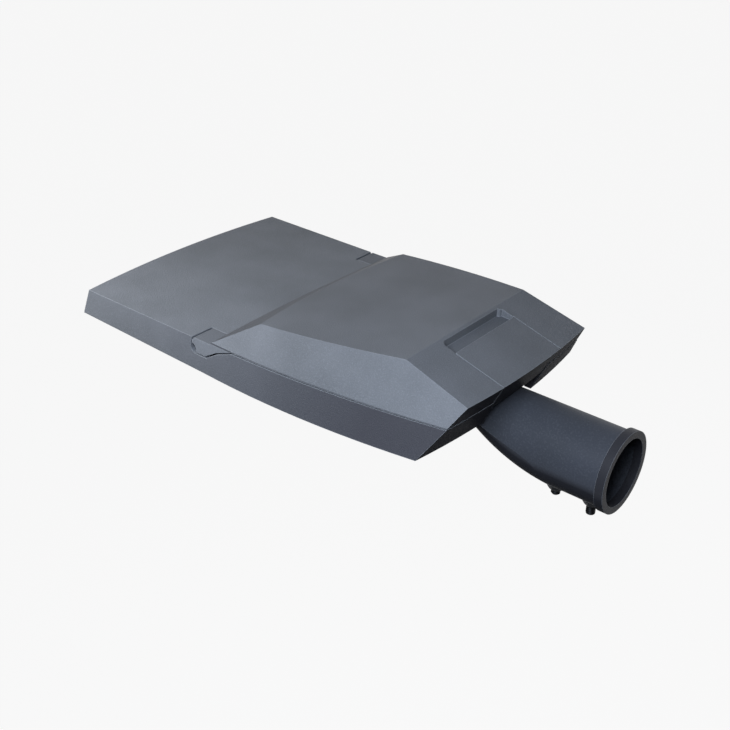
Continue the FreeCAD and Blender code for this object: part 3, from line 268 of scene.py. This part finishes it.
def grain(tree, place, size, detail=3.0):
    """Noise whose blotches are about the given size in metres."""
    settings = {"Scale": 1.0 / size, "Detail": detail, "Roughness": 0.55}
    return add_node(tree, "ShaderNodeTexNoise", settings, {"Vector": place}).outputs[0]


def two_tone(tree, factor, first, second):
    """Mixes two colours, or what feeds them, by a grey value."""
    given = {6: first, 7: second}
    fed = {key: value for key, value in given.items() if hasattr(value, "is_output")}
    fixed = {key: value for key, value in given.items() if key not in fed}
    mixed = add_node(tree, "ShaderNodeMix", {"data_type": "RGBA", **fixed}, {0: factor, **fed})
    return mixed.outputs[2]


def powder_coat(name, finish, shades, grit, relief, rough, painted_tones):
    """Polyester powder coat, sprayed on a die casting and baked: matt, with a fine grit that
    breaks up the light, and edges that the casting rounds and the powder fills out. Its index
    is low because a gritty face hides its own reflections at a glancing view.

    The shades are the coat's own, a pale cloud in it and the light on its grit. Each tone is a
    painted shade: a colour and the ramps whose product says where it lies. A ramp names what it
    reads, the facing or the place of the surface in the piece's own axes, and the axis, then
    two limits and the strength at each. The last tone is also dull, with hardly any gloss.
    """
    shade, pale, speck = shades
    gloss = 0.25    # half of what a smooth coat has
    material, tree, shader, place = start_material(name, ior=1.3, metallic=0.0,
                                                   specular_ior_level=gloss)
    # The coat's thickness drifts slowly, and single grains of the grit catch the light
    fine = grain(tree, place, grit, 4.0)
    broad = grain(tree, place, 90 * MM, 2.0)
    body = two_tone(tree, spread(tree, broad, 0.3, 0.7, 0.0, 1.0), shade, pale)
    body = two_tone(tree, spread(tree, fine, 0.5, 0.66, 0.0, 0.2), body, speck)
    facing = place.node.outputs["Normal"]
    parts = {"facing": add_node(tree, "ShaderNodeSeparateXYZ", {}, {0: facing}).outputs,
             "place": add_node(tree, "ShaderNodeSeparateXYZ", {}, {0: place}).outputs}
    # Painted shade: each tone mixes its darker colour in where its ramps say
    for colour, ramps in painted_tones:
        strength = None
        for source, axis, *limits in ramps:
            ramp = spread(tree, parts[source][axis], *limits)
            strength = product(tree, strength, ramp) if strength else ramp
        body = two_tone(tree, strength, body, colour)
    tree.links.new(spread(tree, strength, 0.0, 1.0, gloss, 0.0),
                   shader.inputs["Specular IOR Level"])
    # Where the rounded edge turns away from the face, the coat catches the light as a pale line
    rounded = add_node(tree, "ShaderNodeBevel",
                       {"samples": 6, "Radius": finish.edge}).outputs[0]
    flat = add_node(tree, "ShaderNodeNewGeometry", {}).outputs["Normal"]
    turn = add_node(tree, "ShaderNodeVectorMath", {"operation": "DOT_PRODUCT"},
                    {0: rounded, 1: flat}).outputs["Value"]
    lined = two_tone(tree, spread(tree, turn, 0.93, 0.995, 0.6, 0.0), body, finish.edge_line)
    tree.links.new(lined, shader.inputs["Base Color"])
    tree.links.new(spread(tree, fine, 0.3, 0.7, rough - 0.08, rough + 0.08),
                   shader.inputs["Roughness"])
    bump = add_node(tree, "ShaderNodeBump", {"Strength": relief, "Distance": 0.5 * MM},
                    {"Height": fine, "Normal": rounded})
    tree.links.new(bump.outputs[0], shader.inputs["Normal"])
    return material


def moulded(name, shade, pale, rough, ior=1.5, pit=0.8 * MM, relief=0.25):
    """Moulded plastic or rubber with the mould's eroded grain: a soft, low sheen over a colour
    that drifts a little."""
    material, tree, shader, place = start_material(name, ior=ior)
    fine = grain(tree, place, pit)
    cloud = spread(tree, grain(tree, place, 25 * MM), 0.3, 0.7, 0.0, 1.0)
    tree.links.new(two_tone(tree, cloud, linear(shade), linear(pale)),
                   shader.inputs["Base Color"])
    tree.links.new(spread(tree, fine, 0.3, 0.7, rough - 0.07, rough + 0.07),
                   shader.inputs["Roughness"])
    bump = add_node(tree, "ShaderNodeBump", {"Strength": relief, "Distance": 0.1 * MM},
                    {"Height": fine})
    tree.links.new(bump.outputs[0], shader.inputs["Normal"])
    return material


def plated(name, shade, pale, rough, spangle=0.0):
    """Plated, galvanised or drawn metal, whose colour and gloss vary from patch to patch: in
    spangles where a width is given, or else in the soft clouds of a plating bath."""
    material, tree, shader, place = start_material(name, metallic=1.0)
    if spangle:
        patches = add_node(tree, "ShaderNodeTexVoronoi", {"Scale": 1.0 / spangle},
                           {"Vector": place}).outputs["Color"]
        patches = add_node(tree, "ShaderNodeSeparateColor", {}, {0: patches}).outputs[0]
    else:
        patches = spread(tree, grain(tree, place, 2.0 * MM), 0.3, 0.7, 0.0, 1.0)
    tree.links.new(two_tone(tree, patches, linear(shade), linear(pale)),
                   shader.inputs["Base Color"])
    tree.links.new(spread(tree, patches, 0.0, 1.0, rough - 0.08, rough + 0.08),
                   shader.inputs["Roughness"])
    bump = add_node(tree, "ShaderNodeBump", {"Strength": 0.15, "Distance": 0.05 * MM},
                    {"Height": grain(tree, place, 0.4 * MM)})
    tree.links.new(bump.outputs[0], shader.inputs["Normal"])
    return material


def clear(name, shade, rough, ior, waviness):
    """Clear sheet or moulding: light passes through, with a faint waviness in the surface. To
    shadow rays it is plainly transparent, so that what lies behind it is lit."""
    tint = linear(shade)
    material, tree, shader, place = start_material(name, base_color=tint, ior=ior,
                                                   transmission_weight=1.0)
    drift = grain(tree, place, 30 * MM)
    tree.links.new(spread(tree, drift, 0.3, 0.7, rough, rough + 0.03),
                   shader.inputs["Roughness"])
    bump = add_node(tree, "ShaderNodeBump", {"Strength": waviness, "Distance": 0.1 * MM},
                    {"Height": drift})
    tree.links.new(bump.outputs[0], shader.inputs["Normal"])
    shadow = add_node(tree, "ShaderNodeLightPath", {}).outputs["Is Shadow Ray"]
    through = add_node(tree, "ShaderNodeBsdfTransparent", {"Color": tint}).outputs[0]
    show_mix(tree, shadow, shader.outputs[0], through)
    return material


def background_ray(tree):
    """One for a ray that shows the background: to the camera, in a gloss or through glass."""
    path = add_node(tree, "ShaderNodeLightPath", {}).outputs
    seen = path["Is Camera Ray"]
    for kind in ("Is Glossy Ray", "Is Transmission Ray"):
        seen = add_node(tree, "ShaderNodeMath", {"operation": "MAXIMUM"},
                        {0: seen, 1: path[kind]}).outputs[0]
    return seen


def pale_paper(name, shade, matt_share):
    """Matt paper backdrop. The camera sees it nearly even, with a faint shadow on the share of
    it that is matt; towards the object it is only a dim grey, so that it throws little light
    back up."""
    material, tree, shader, _ = start_material(name, base_color=linear("#4A4B4D"),
                                               roughness=0.95)
    sheet = add_node(tree, "ShaderNodeBsdfDiffuse", {"Color": shade}).outputs[0]
    even = add_node(tree, "ShaderNodeEmission", {"Color": shade, "Strength": 1.0}).outputs[0]
    shown = add_node(tree, "ShaderNodeMixShader", {0: matt_share}, {1: even, 2: sheet})
    show_mix(tree, background_ray(tree), shader.outputs[0], shown.outputs[0])
    return material


def coat(nodes, material):
    """Gives CAD nodes a finish by assigning it to each material slot of their objects."""
    for name in nodes:
        piece = NODES[name]
        if not piece.material_slots:
            raise RuntimeError("node %s has no material slot" % name)
        for slot in piece.material_slots:
            slot.material = material


def fit(piece, body, material, slot, *nodes):
    """Finishes a new piece and lets it stand for the CAD nodes named."""
    piece.data.materials.append(material)
    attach(piece, body)
    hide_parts(*nodes)


class HousingFinish(bpy.types.PropertyGroup):
    """Colours and grain of the coated castings, and the painted shade on some of their faces"""
    body: colour_prop("Housing", "Coat of the housing, cover and latch", "#6B6F75")
    body_pale: colour_prop("Housing, pale", "Pale cloud in that coat", "#7B7F86")
    body_speck: colour_prop("Housing, speck", "Light on the grit of that coat", "#A3A9B2")
    # Painted shade: the flanks darker towards the rear, where less light falls
    flank: colour_prop("Flank", "Coat of the housing's flanks towards the rear", "#44454C")
    # Painted shade: the cover's lip above the seam, and its ramp, top and slopes
    lip: colour_prop("Lip", "Coat of the cover's lip above the seam and of its ramp", "#3E4148")
    # Painted shade: the rear faces that lean over, and the rim round the adapter's mouth
    lean: colour_prop("Overhang", "Coat of the rear faces that lean over", "#33343A")
    neck: colour_prop("Adapter", "Coat of the adapter", "#43474F")
    neck_pale: colour_prop("Adapter, pale", "Pale cloud in that coat", "#484C56")
    neck_speck: colour_prop("Adapter, speck", "Light on the grit of that coat", "#676B74")
    grit: length_prop("Grit", "Grain of the housing's coat, coarse enough to show", 1.1 * MM)
    neck_grit: length_prop("Adapter, grit", "Grain of the adapter's coat", 1.8 * MM)
    edge: length_prop("Edge", "Rounding of the castings' edges", 0.9 * MM)
    edge_line: colour_prop("Edge line", "Light that a rounded edge catches", "#A6ABB3")


class ClampSizes(bpy.types.PropertyGroup):
    """Sizes of the clamp screws and their lock nuts"""
    pitch: length_prop("Pitch", "Thread pitch of the clamp screws", 1.5 * MM)
    depth: length_prop("Depth", "Depth of that thread", 0.75 * MM)
    key: length_prop("Key", "Hexagon socket over its flats", 5.0 * MM)
    socket: length_prop("Socket", "Depth of that socket", 3.0 * MM)
    nut_bore: length_prop("Nut, bore", "Radius of the hole in the lock nuts", 5.0 * MM)


class CoilSizes(bpy.types.PropertyGroup):
    """Sizes of the latch's torsion spring"""
    wire: length_prop("Wire", "Radius of the spring wire", 0.78 * MM)
    coil: length_prop("Coil", "Radius of the coil's centre line", 4.2 * MM)
    half: length_prop("Half width", "From the middle of the coil to its ends", 5.6 * MM)
    turns: bpy.props.IntProperty(name="Turns", description="Full turns of the coil", min=1,
                                 default=7)


class LensSizes(bpy.types.PropertyGroup):
    """Sizes of the moulded lenses"""
    sheet: length_prop("Sheet", "Thickness of the plate that carries the lenses", 4.0 * MM)
    along: length_prop("Along", "Half of a lens along the head", 7.6 * MM)
    across: length_prop("Across", "Half of a lens across the head", 9.6 * MM)
    waist: length_prop("Waist", "Half width of the dip between a lens's two lobes", 3.0 * MM)


class StageSetup(bpy.types.PropertyGroup):
    """Camera, floor and light"""
    eye: bpy.props.FloatVectorProperty(name="Camera", description="Place of the camera",
                                       subtype="TRANSLATION", unit="LENGTH", size=3,
                                       default=(0.351266, -0.852770, 0.606366))
    azimuth: angle_prop("Azimuth", "Turn of the view about +Z", 37.977)
    elevation: angle_prop("Elevation", "How far the view looks down", 29.375)
    roll: angle_prop("Roll", "Turn of the view about its own axis", 2.093)
    lens: bpy.props.FloatProperty(name="Lens", subtype="DISTANCE_CAMERA", default=56.163,
                                  description="Focal length in mm for a 36 mm wide sensor")
    floor: bpy.props.FloatProperty(name="Floor", description="Height of the floor",
                                   subtype="DISTANCE", unit="LENGTH", default=-1.0)
    floor_half: length_prop("Floor, half", "Half the width of the floor", 30.0)
    pale: colour_prop("Floor colour", "Colour of the floor and backdrop", "#FFFFFF")
    matt: share_prop("Floor, matt", "Share of the floor that can show a shadow", 0.08)
    backdrop: share_prop("Backdrop", "Strength of the world as it is seen", 0.92)
    fill: share_prop("Fill", "Strength of the world as light on the object", 0.07)
    fill_shade: colour_prop("Fill colour", "Colour of that light", "#E8ECF2")


class LIGHTHEAD_OT_castings(bpy.types.Operator):
    """Coats the housing, its cover, latch and glass frame, and the adapter"""
    bl_idname = "lighthead.castings"
    bl_label = "Coat the castings"

    def execute(self, context):
        finish = context.scene.lighthead_finish
        # Painted shade on the faces that lean under the rear, where little light comes; the
        # flat underside is left
        lean = (finish.lean, (("facing", "Z", -0.9, -0.7, 0.0, 1.0),
                              ("facing", "Z", -0.28, -0.06, 0.97, 0.0),
                              ("place", "X", -0.3, -0.2, 0.0, 1.0)))
        # Painted shade on the steep sides, darker towards the rear
        flank = (finish.flank, (("facing", "Z", 0.55, 0.7, 1.0, 0.0),
                                ("place", "X", -0.54, -0.2, 0.0, 1.0)))
        # Painted shade along the cover's lower edge, a dark line above the seam
        over_seam = ("place", "Z", SEAM, SEAM + 0.5 * MM, 0.0, 1.0)
        in_edge = ("place", "Z", SEAM + 1.1 * MM, SEAM + 1.7 * MM, 1.0, 0.0)
        lip = (finish.lip, (over_seam, in_edge))
        # Painted shade on the cover's faces by the way they look: forwards, straight up,
        # and up and back
        ramp = (finish.lip, (over_seam, ("facing", "X", -0.45, -0.25, 0.8, 0.0)))
        level = (finish.lip, (("facing", "Z", 0.985, 0.993, 0.0, 0.3),))
        slope = (finish.lip, (("facing", "Z", 0.9, 0.94, 0.0, 1.0),
                              ("facing", "X", 0.2, 0.26, 0.0, 0.25)))
        # Painted shade on the rim round the adapter's mouth
        collar = (finish.lean, (("place", "X", RIM - 0.2 * MM, RIM + 0.2 * MM, 0.0, 1.0),))
        # A coarse powder: seen from near it glitters in grains, and from afar it is a soft grey
        shades = (finish.body, finish.body_pale, finish.body_speck)
        # Each casting with its coat and the painted shades that it takes
        for nodes, name, painted_tones in (
                (("latch_lever", "glass_frame"), "dark grey textured polyester powder coat",
                 (slope, lean)),
                (("gear_cover",), "dark grey textured powder coat, shaded lip",
                 (lip, ramp, level, slope, lean)),
                (("base_housing",), "dark grey textured powder coat, shaded flank",
                 (flank, lean))):
            coat(nodes, powder_coat(name, finish, shades, finish.grit, relief=1.0, rough=0.44,
                                    painted_tones=painted_tones))
        # A finer powder on the adapter: darker, smoother, and with less glitter, and painted
        # shade on its rim and on the faces that lean under
        coat(("pole_adapter",),
             powder_coat("anthracite smooth polyester powder coat", finish,
                         (finish.neck, finish.neck_pale, finish.neck_speck), finish.neck_grit,
                         relief=0.5, rough=0.5, painted_tones=(collar, lean)))
        return {"FINISHED"}


class LIGHTHEAD_OT_light_section(bpy.types.Operator):
    """Finishes the glass, its seal, the board and the emitters"""
    bl_idname = "lighthead.light_section"
    bl_label = "Finish the light section"

    def execute(self, context):
        # Float glass is clear with a breath of green, and mirrors the sky in its flat face
        coat(("led_glass",), clear("toughened float glass", "#F2F7F4", 0.01, 1.52, 0.05))
        # Silicone rubber swallows the light: a black line with no edge to it
        coat(("glass_gasket", "cover_gasket"),
             moulded("extruded silicone rubber", "#17181A", "#1F2022", 0.62))
        # Solder mask is a thin white lacquer, a little glossy, so that the board looks bright
        coat(("led_board",), moulded("white solder mask", "#E6E7E4", "#EFEFEB", 0.35,
                                     pit=1.5 * MM, relief=0.1))
        # Phosphor in clear silicone gives each emitter its egg yellow when it is off
        coat(("led_emitters",),
             moulded("yellow phosphor in silicone", "#E3C048", "#EBD06A", 0.3, ior=1.41))
        return {"FINISHED"}


class LIGHTHEAD_OT_gear(bpy.types.Operator):
    """Finishes the gear tray, the driver, the other gear and the plain fasteners"""
    bl_idname = "lighthead.gear"
    bl_label = "Finish the gear"

    def execute(self, context):
        # Hot zinc freezes into spangles, flat crystals that each turn the light their own way
        coat(("gear_tray",), plated("galvanised sheet steel", "#AEB1B3", "#B8BBBC", 0.5,
                                    spangle=6.0 * MM))
        # Bare aluminium is the palest metal here, brushed to a satin that blurs reflections
        coat(("led_driver",), plated("brushed extruded aluminium", "#C4C6C7", "#D2D3D3", 0.36))
        # Polyamide has a waxy half gloss: grey for the electrical gear, black for the gland
        coat(("surge_protector", "terminal_block"),
             moulded("grey polyamide", "#8B8F92", "#969A9C", 0.5))
        coat(("cable_gland", "breather_vent"),
             moulded("black polyamide", "#1B1C1E", "#242527", 0.48))
        # Bright zinc is silvery and clouded, and shows which pieces hold the others
        coat(("hinge_pins", "pivot_bolts", "pivot_washers", "latch_pin", "tilt_sleeves"),
             plated("zinc-plated steel", "#A7A9AA", "#BDBFBF", 0.32))
        return {"FINISHED"}


class LIGHTHEAD_OT_clamp_screws(bpy.types.Operator):
    """Cuts the threads and sockets of the two clamp screws"""
    bl_idname = "lighthead.clamp_screws"
    bl_label = "Fit the clamp screws"

    def execute(self, context):
        sizes = context.scene.lighthead_clamp
        low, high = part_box("clamp_screws")
        radius = (high.y - low.y) / 2
        shells = []
        for x, end in zip(CLAMP_X, CLAMP_ENDS):
            length = high.z - end
            key, floor = sizes.key / 2, length - sizes.socket
            # From the socket's floor up its wall and over the end, along the thread to the tip
            rows = [(key * 0.4, floor, 1, 0), (key, floor, 1, 0),
                    (key, length - 0.6 * MM, 1, 0), (key + 0.5 * MM, length, 0.4, 0),
                    (radius - 1.3 * MM, length, 0, 0)]
            steps = np.linspace(length - 0.9 * MM, 1.2 * MM, int(length / (0.15 * sizes.pitch)))
            rows += [(radius, z, 0, 1) for z in steps.tolist()]
            rows += [(radius - 1.6 * MM, 0.0, 0, 0), (radius * 0.4, 0.0, 0, 0)]
            grid = turned(rows[::-1], 30, sizes.pitch, sizes.depth)
            shells.append((turned_over(grid) + np.array([x, 0.0, high.z]), "poles"))
        # Black oxide is a thin oiled skin: nearly black, with a soft sheen on the thread
        fit(closed_mesh("clamp_screw_threads", shells, 50.0), "adapter",
            plated("black oxide steel", "#1A1B1D", "#26272A", 0.42),
            "dark_steel", "clamp_screws")
        return {"FINISHED"}


class LIGHTHEAD_OT_clamp_nuts(bpy.types.Operator):
    """Shapes the chamfered lock nuts on the clamp screws"""
    bl_idname = "lighthead.clamp_nuts"
    bl_label = "Fit the lock nuts"

    def execute(self, context):
        low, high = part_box("clamp_nuts")
        bore = context.scene.lighthead_clamp.nut_bore
        flat = (high.y - low.y) / 2
        tall = high.z - low.z
        # From the bore over the chamfered face to where the side is a full hexagon; the other
        # face is the same turned over
        face = [(bore, 0.7 * MM, 0), (bore + 0.5 * MM, 0.0, 0), (flat * 0.97, 0.0, 0),
                (flat, 0.35 * MM, 0.45), (flat, 1.1 * MM, 1)]
        rows = [(r, z, six, 0) for r, z, six in face]
        rows += [(r, tall - z, six, 0) for r, z, six in reversed(face)]
        grid = turned(rows, 72)
        shells = [(grid + np.array([x, 0.0, low.z]), "ring") for x in CLAMP_X]
        # Black zinc is a little greyer and glossier than the screws' oxide
        fit(closed_mesh("clamp_lock_nuts", shells, 30.0), "adapter",
            plated("black zinc steel", "#202124", "#2D2E31", 0.38),
            "dark_steel", "clamp_nuts")
        return {"FINISHED"}


class LIGHTHEAD_OT_latch_spring(bpy.types.Operator):
    """Winds the latch's torsion spring on its pin"""
    bl_idname = "lighthead.latch_spring"
    bl_label = "Wind the latch spring"

    def execute(self, context):
        sizes = context.scene.lighthead_coil
        low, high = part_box("latch_spring")
        pin_low, pin_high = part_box("latch_pin")
        x, z = (pin_low.x + pin_high.x) / 2, (pin_low.z + pin_high.z) / 2
        # A helix about the pin: x + R cos(a), y from +half to -half, z + R sin(a)
        t = np.linspace(0.0, 1.0, 24 * sizes.turns + 1)
        a = -math.pi / 2 + 2 * math.pi * sizes.turns * t
        coil = np.stack([x + sizes.coil * np.cos(a), sizes.half - 2 * sizes.half * t,
                         z + sizes.coil * np.sin(a)], axis=-1)
        # The far leg runs forward along X. The near one is a stub that stands short of the
        # flap, because a rigid coil can't bend when the flap turns
        run = np.linspace(0.0, 1.0, 8)[:-1, None]
        far = np.array([low.x, sizes.half, z - sizes.coil])
        near = np.array([x + 0.6 * MM, -sizes.half, z - sizes.coil])
        path = np.concatenate([far + run * (coil[0] - far), coil,
                               near + run[::-1] * (coil[-1] - near)])
        # Drawn wire is smooth and bright, a grey that is warmer than zinc
        fit(closed_mesh("latch_torsion_spring", [(swept(path, sizes.wire, 10), "poles")]),
            "cover", plated("drawn spring steel", "#8E9091", "#A5A7A8", 0.28),
            "zinc_steel", "latch_spring")
        return {"FINISHED"}


class LIGHTHEAD_OT_lenses(bpy.types.Operator):
    """Moulds the lens plate with a two-lobed lens over every emitter"""
    bl_idname = "lighthead.lenses"
    bl_label = "Mould the lens plate"

    def execute(self, context):
        sizes = context.scene.lighthead_lens
        low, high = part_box("lens_plate")
        sheet = high.z - sizes.sheet
        shells = [(slab((low.x, high.x), (low.y, high.y), sheet, high.z, 4.0 * MM, 0.4 * MM),
                   "poles")]
        down = np.linspace(0.0, math.pi / 2, 10)[:, None]
        a = np.linspace(0.0, 2 * math.pi, 32, endpoint=False)[None, :]
        # Half an egg: sin(d) cos(a) by half its length, sin(d) sin(a) by half its width, cos(d)
        # by its height, drawn in at the waist by a sixth of the height times
        # exp(-(y / waist) squared)
        ex = sizes.along * np.sin(down) * np.cos(a)
        ey = sizes.across * np.sin(down) * np.sin(a)
        ez = (sheet - low.z) * np.cos(down) * (1.0 - np.exp(-(ey / sizes.waist) ** 2) / 6.0)
        dome = np.stack([ex, ey, sheet - ez], axis=-1)
        sunk = dome[-1:] + np.array([0.0, 0.0, 0.6 * MM])
        dome = np.concatenate([dome, sunk])
        for row in range(LENS_ROWS):
            for column in range(LENS_COLUMNS):
                at = np.array([LENS_MIDDLE + LENS_PITCH * (row - (LENS_ROWS - 1) / 2),
                               LENS_PITCH * (column - (LENS_COLUMNS - 1) / 2), 0.0])
                shells.append((dome + at, "poles"))
        # Acrylic is as clear as glass and a little softer, so each lens shows its emitter large
        fit(closed_mesh("lens_array", shells), "head",
            clear("moulded acrylic", "#F7F8F7", 0.04, 1.49, 0.1), "lens_clear", "lens_plate")
        return {"FINISHED"}


class LIGHTHEAD_OT_small_screws(bpy.types.Operator):
    """Turns the pan heads, sockets and threads of the small screws"""
    bl_idname = "lighthead.small_screws"
    bl_label = "Fit the small screws"

    def execute(self, context):
        # Bright zinc on small heads: sparks of light that show where the piece is held
        steel = plated("bright zinc-plated steel", "#A2A4A5", "#B9BABA", 0.3)
        for node, (*radii, points, along, across) in SMALL_SCREWS.items():
            shank, head, tall = (value * MM for value in radii)
            low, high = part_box(node)
            length = high.z - low.z
            rise = length - tall
            key, floor = head * 0.42, length - 0.6 * tall
            # From the tip up the thread, round the pan head and down its six-sided socket
            steps = np.linspace(0.6 * MM, rise - 0.3 * MM, max(4, int(rise / (0.14 * MM))))
            rows = [(shank * 0.3, 0.0, 0, 0), (shank * 0.75, 0.0, 0, 0)]
            rows += [(shank * 0.99, z, 0, 1) for z in steps.tolist()]
            rows += [(shank * 0.99, rise, 0, 0)]
            rows += [(head * wide, rise + tall * up, 0, 0) for wide, up in PAN_HEAD]
            rows += [(key * 1.06, length, 0.7, 0), (key, length - 0.15 * MM, 1, 0),
                     (key, floor, 1, 0), (key * 0.3, floor, 1, 0)]
            grid, foot = turned(rows, 24, pitch=0.7 * MM, depth=0.3 * MM), low.z
            if points == "down":
                grid, foot = turned_over(grid), high.z
            shells = [(grid + np.array([x * MM, y * MM, foot]), "poles")
                      for x in along for y in across]
            fit(closed_mesh(node.replace("screws", "pan_screws"), shells, 35.0), "head", steel,
                "zinc_steel", node)
        return {"FINISHED"}


class LIGHTHEAD_OT_stage(bpy.types.Operator):
    """Sets the floor, the light and the camera"""
    bl_idname = "lighthead.stage"
    bl_label = "Set the stage"

    def execute(self, context):
        setup = context.scene.lighthead_stage
        scene = context.scene
        half = setup.floor_half
        ground = bpy.data.meshes.new("floor")
        corners = ((-half, -half), (half, -half), (half, half), (-half, half))
        ground.from_pydata([(x, y, setup.floor) for x, y in corners], [], [(0, 1, 2, 3)])
        floor = bpy.data.objects.new("floor", ground)
        scene.collection.objects.link(floor)
        # Uncoated paper scatters light evenly, so the ground has no edge, gloss or texture
        ground.materials.append(pale_paper("matt pale paper", setup.pale, setup.matt))

        world = bpy.data.worlds.new("soft studio")
        world.use_nodes = True
        tree = world.node_tree
        tree.nodes.clear()
        dim = add_node(tree, "ShaderNodeBackground", {"Color": setup.fill_shade,
                                                      "Strength": setup.fill})
        bright = add_node(tree, "ShaderNodeBackground", {"Color": setup.pale,
                                                         "Strength": setup.backdrop})
        mixed = add_node(tree, "ShaderNodeMixShader", {}, {0: background_ray(tree),
                                                           1: dim.outputs[0],
                                                           2: bright.outputs[0]})
        add_node(tree, "ShaderNodeOutputWorld", {}, {"Surface": mixed.outputs[0]})
        scene.world = world

        for name, eye, wide, tall, watts, shade in LAMPS:
            lamp = bpy.data.lights.new(name, "AREA")
            lamp.shape = "RECTANGLE"
            lamp.size, lamp.size_y = wide, tall
            lamp.energy = watts
            lamp.color = linear(shade)[:3]
            box = bpy.data.objects.new(name, lamp)
            turn = (Vector(eye) - Vector(LAMPS_AIM)).to_track_quat("Z", "Y")
            box.matrix_world = Matrix.Translation(eye) @ turn.to_matrix().to_4x4()
            box.visible_camera = False
            scene.collection.objects.link(box)

        # The view's axes: back towards the camera, level to its right, then both rolled
        back = Vector((math.sin(setup.azimuth) * math.cos(setup.elevation),
                       -math.cos(setup.azimuth) * math.cos(setup.elevation),
                       math.sin(setup.elevation)))
        level = Vector((math.cos(setup.azimuth), math.sin(setup.azimuth), 0.0))
        over = back.cross(level)
        right = level * math.cos(setup.roll) + over * math.sin(setup.roll)
        over = back.cross(right)
        shot = bpy.data.cameras.new("camera")
        shot.sensor_width = 36.0
        shot.lens = setup.lens
        shot.clip_start = 0.01
        camera = bpy.data.objects.new("camera", shot)
        camera.matrix_world = (Matrix.Translation(setup.eye)
                               @ Matrix((right, over, back)).transposed().to_4x4())
        scene.collection.objects.link(camera)
        scene.camera = camera
        scene.view_settings.view_transform = "Standard"
        return {"FINISHED"}


OPERATORS = (LIGHTHEAD_OT_castings, LIGHTHEAD_OT_light_section, LIGHTHEAD_OT_gear,
             LIGHTHEAD_OT_clamp_screws, LIGHTHEAD_OT_clamp_nuts, LIGHTHEAD_OT_latch_spring,
             LIGHTHEAD_OT_lenses, LIGHTHEAD_OT_small_screws, LIGHTHEAD_OT_stage)
GROUPS = {"lighthead_finish": HousingFinish, "lighthead_clamp": ClampSizes,
          "lighthead_coil": CoilSizes, "lighthead_lens": LensSizes,
          "lighthead_stage": StageSetup}


class LIGHTHEAD_PT_panel(bpy.types.Panel):
    """Lists the sizes, the finishes and the steps"""
    bl_idname = "LIGHTHEAD_PT_panel"
    bl_label = "Street Light Head"
    bl_space_type = "VIEW_3D"
    bl_region_type = "UI"
    bl_category = "Street Light"

    def draw(self, context):
        for key in GROUPS:
            group = getattr(context.scene, key)
            for name in group.bl_rna.properties.keys():
                if name not in ("rna_type", "name"):
                    self.layout.prop(group, name)
        for operator in OPERATORS:
            self.layout.operator(operator.bl_idname)


def register():
    for group in GROUPS.values():
        bpy.utils.register_class(group)
    for operator in OPERATORS:
        bpy.utils.register_class(operator)
    bpy.utils.register_class(LIGHTHEAD_PT_panel)
    for key, group in GROUPS.items():
        setattr(bpy.types.Scene, key, bpy.props.PointerProperty(type=group))


def unregister():
    for key in GROUPS:
        delattr(bpy.types.Scene, key)
    bpy.utils.unregister_class(LIGHTHEAD_PT_panel)
    for operator in reversed(OPERATORS):
        bpy.utils.unregister_class(operator)
    for group in reversed(list(GROUPS.values())):
        bpy.utils.unregister_class(group)


def main():
    register()
    bpy.ops.lighthead.castings()
    bpy.ops.lighthead.light_section()
    bpy.ops.lighthead.gear()
    bpy.ops.lighthead.clamp_screws()
    bpy.ops.lighthead.clamp_nuts()
    bpy.ops.lighthead.latch_spring()
    bpy.ops.lighthead.lenses()
    bpy.ops.lighthead.small_screws()
    bpy.ops.lighthead.stage()


if __name__ == "__main__":
    main()
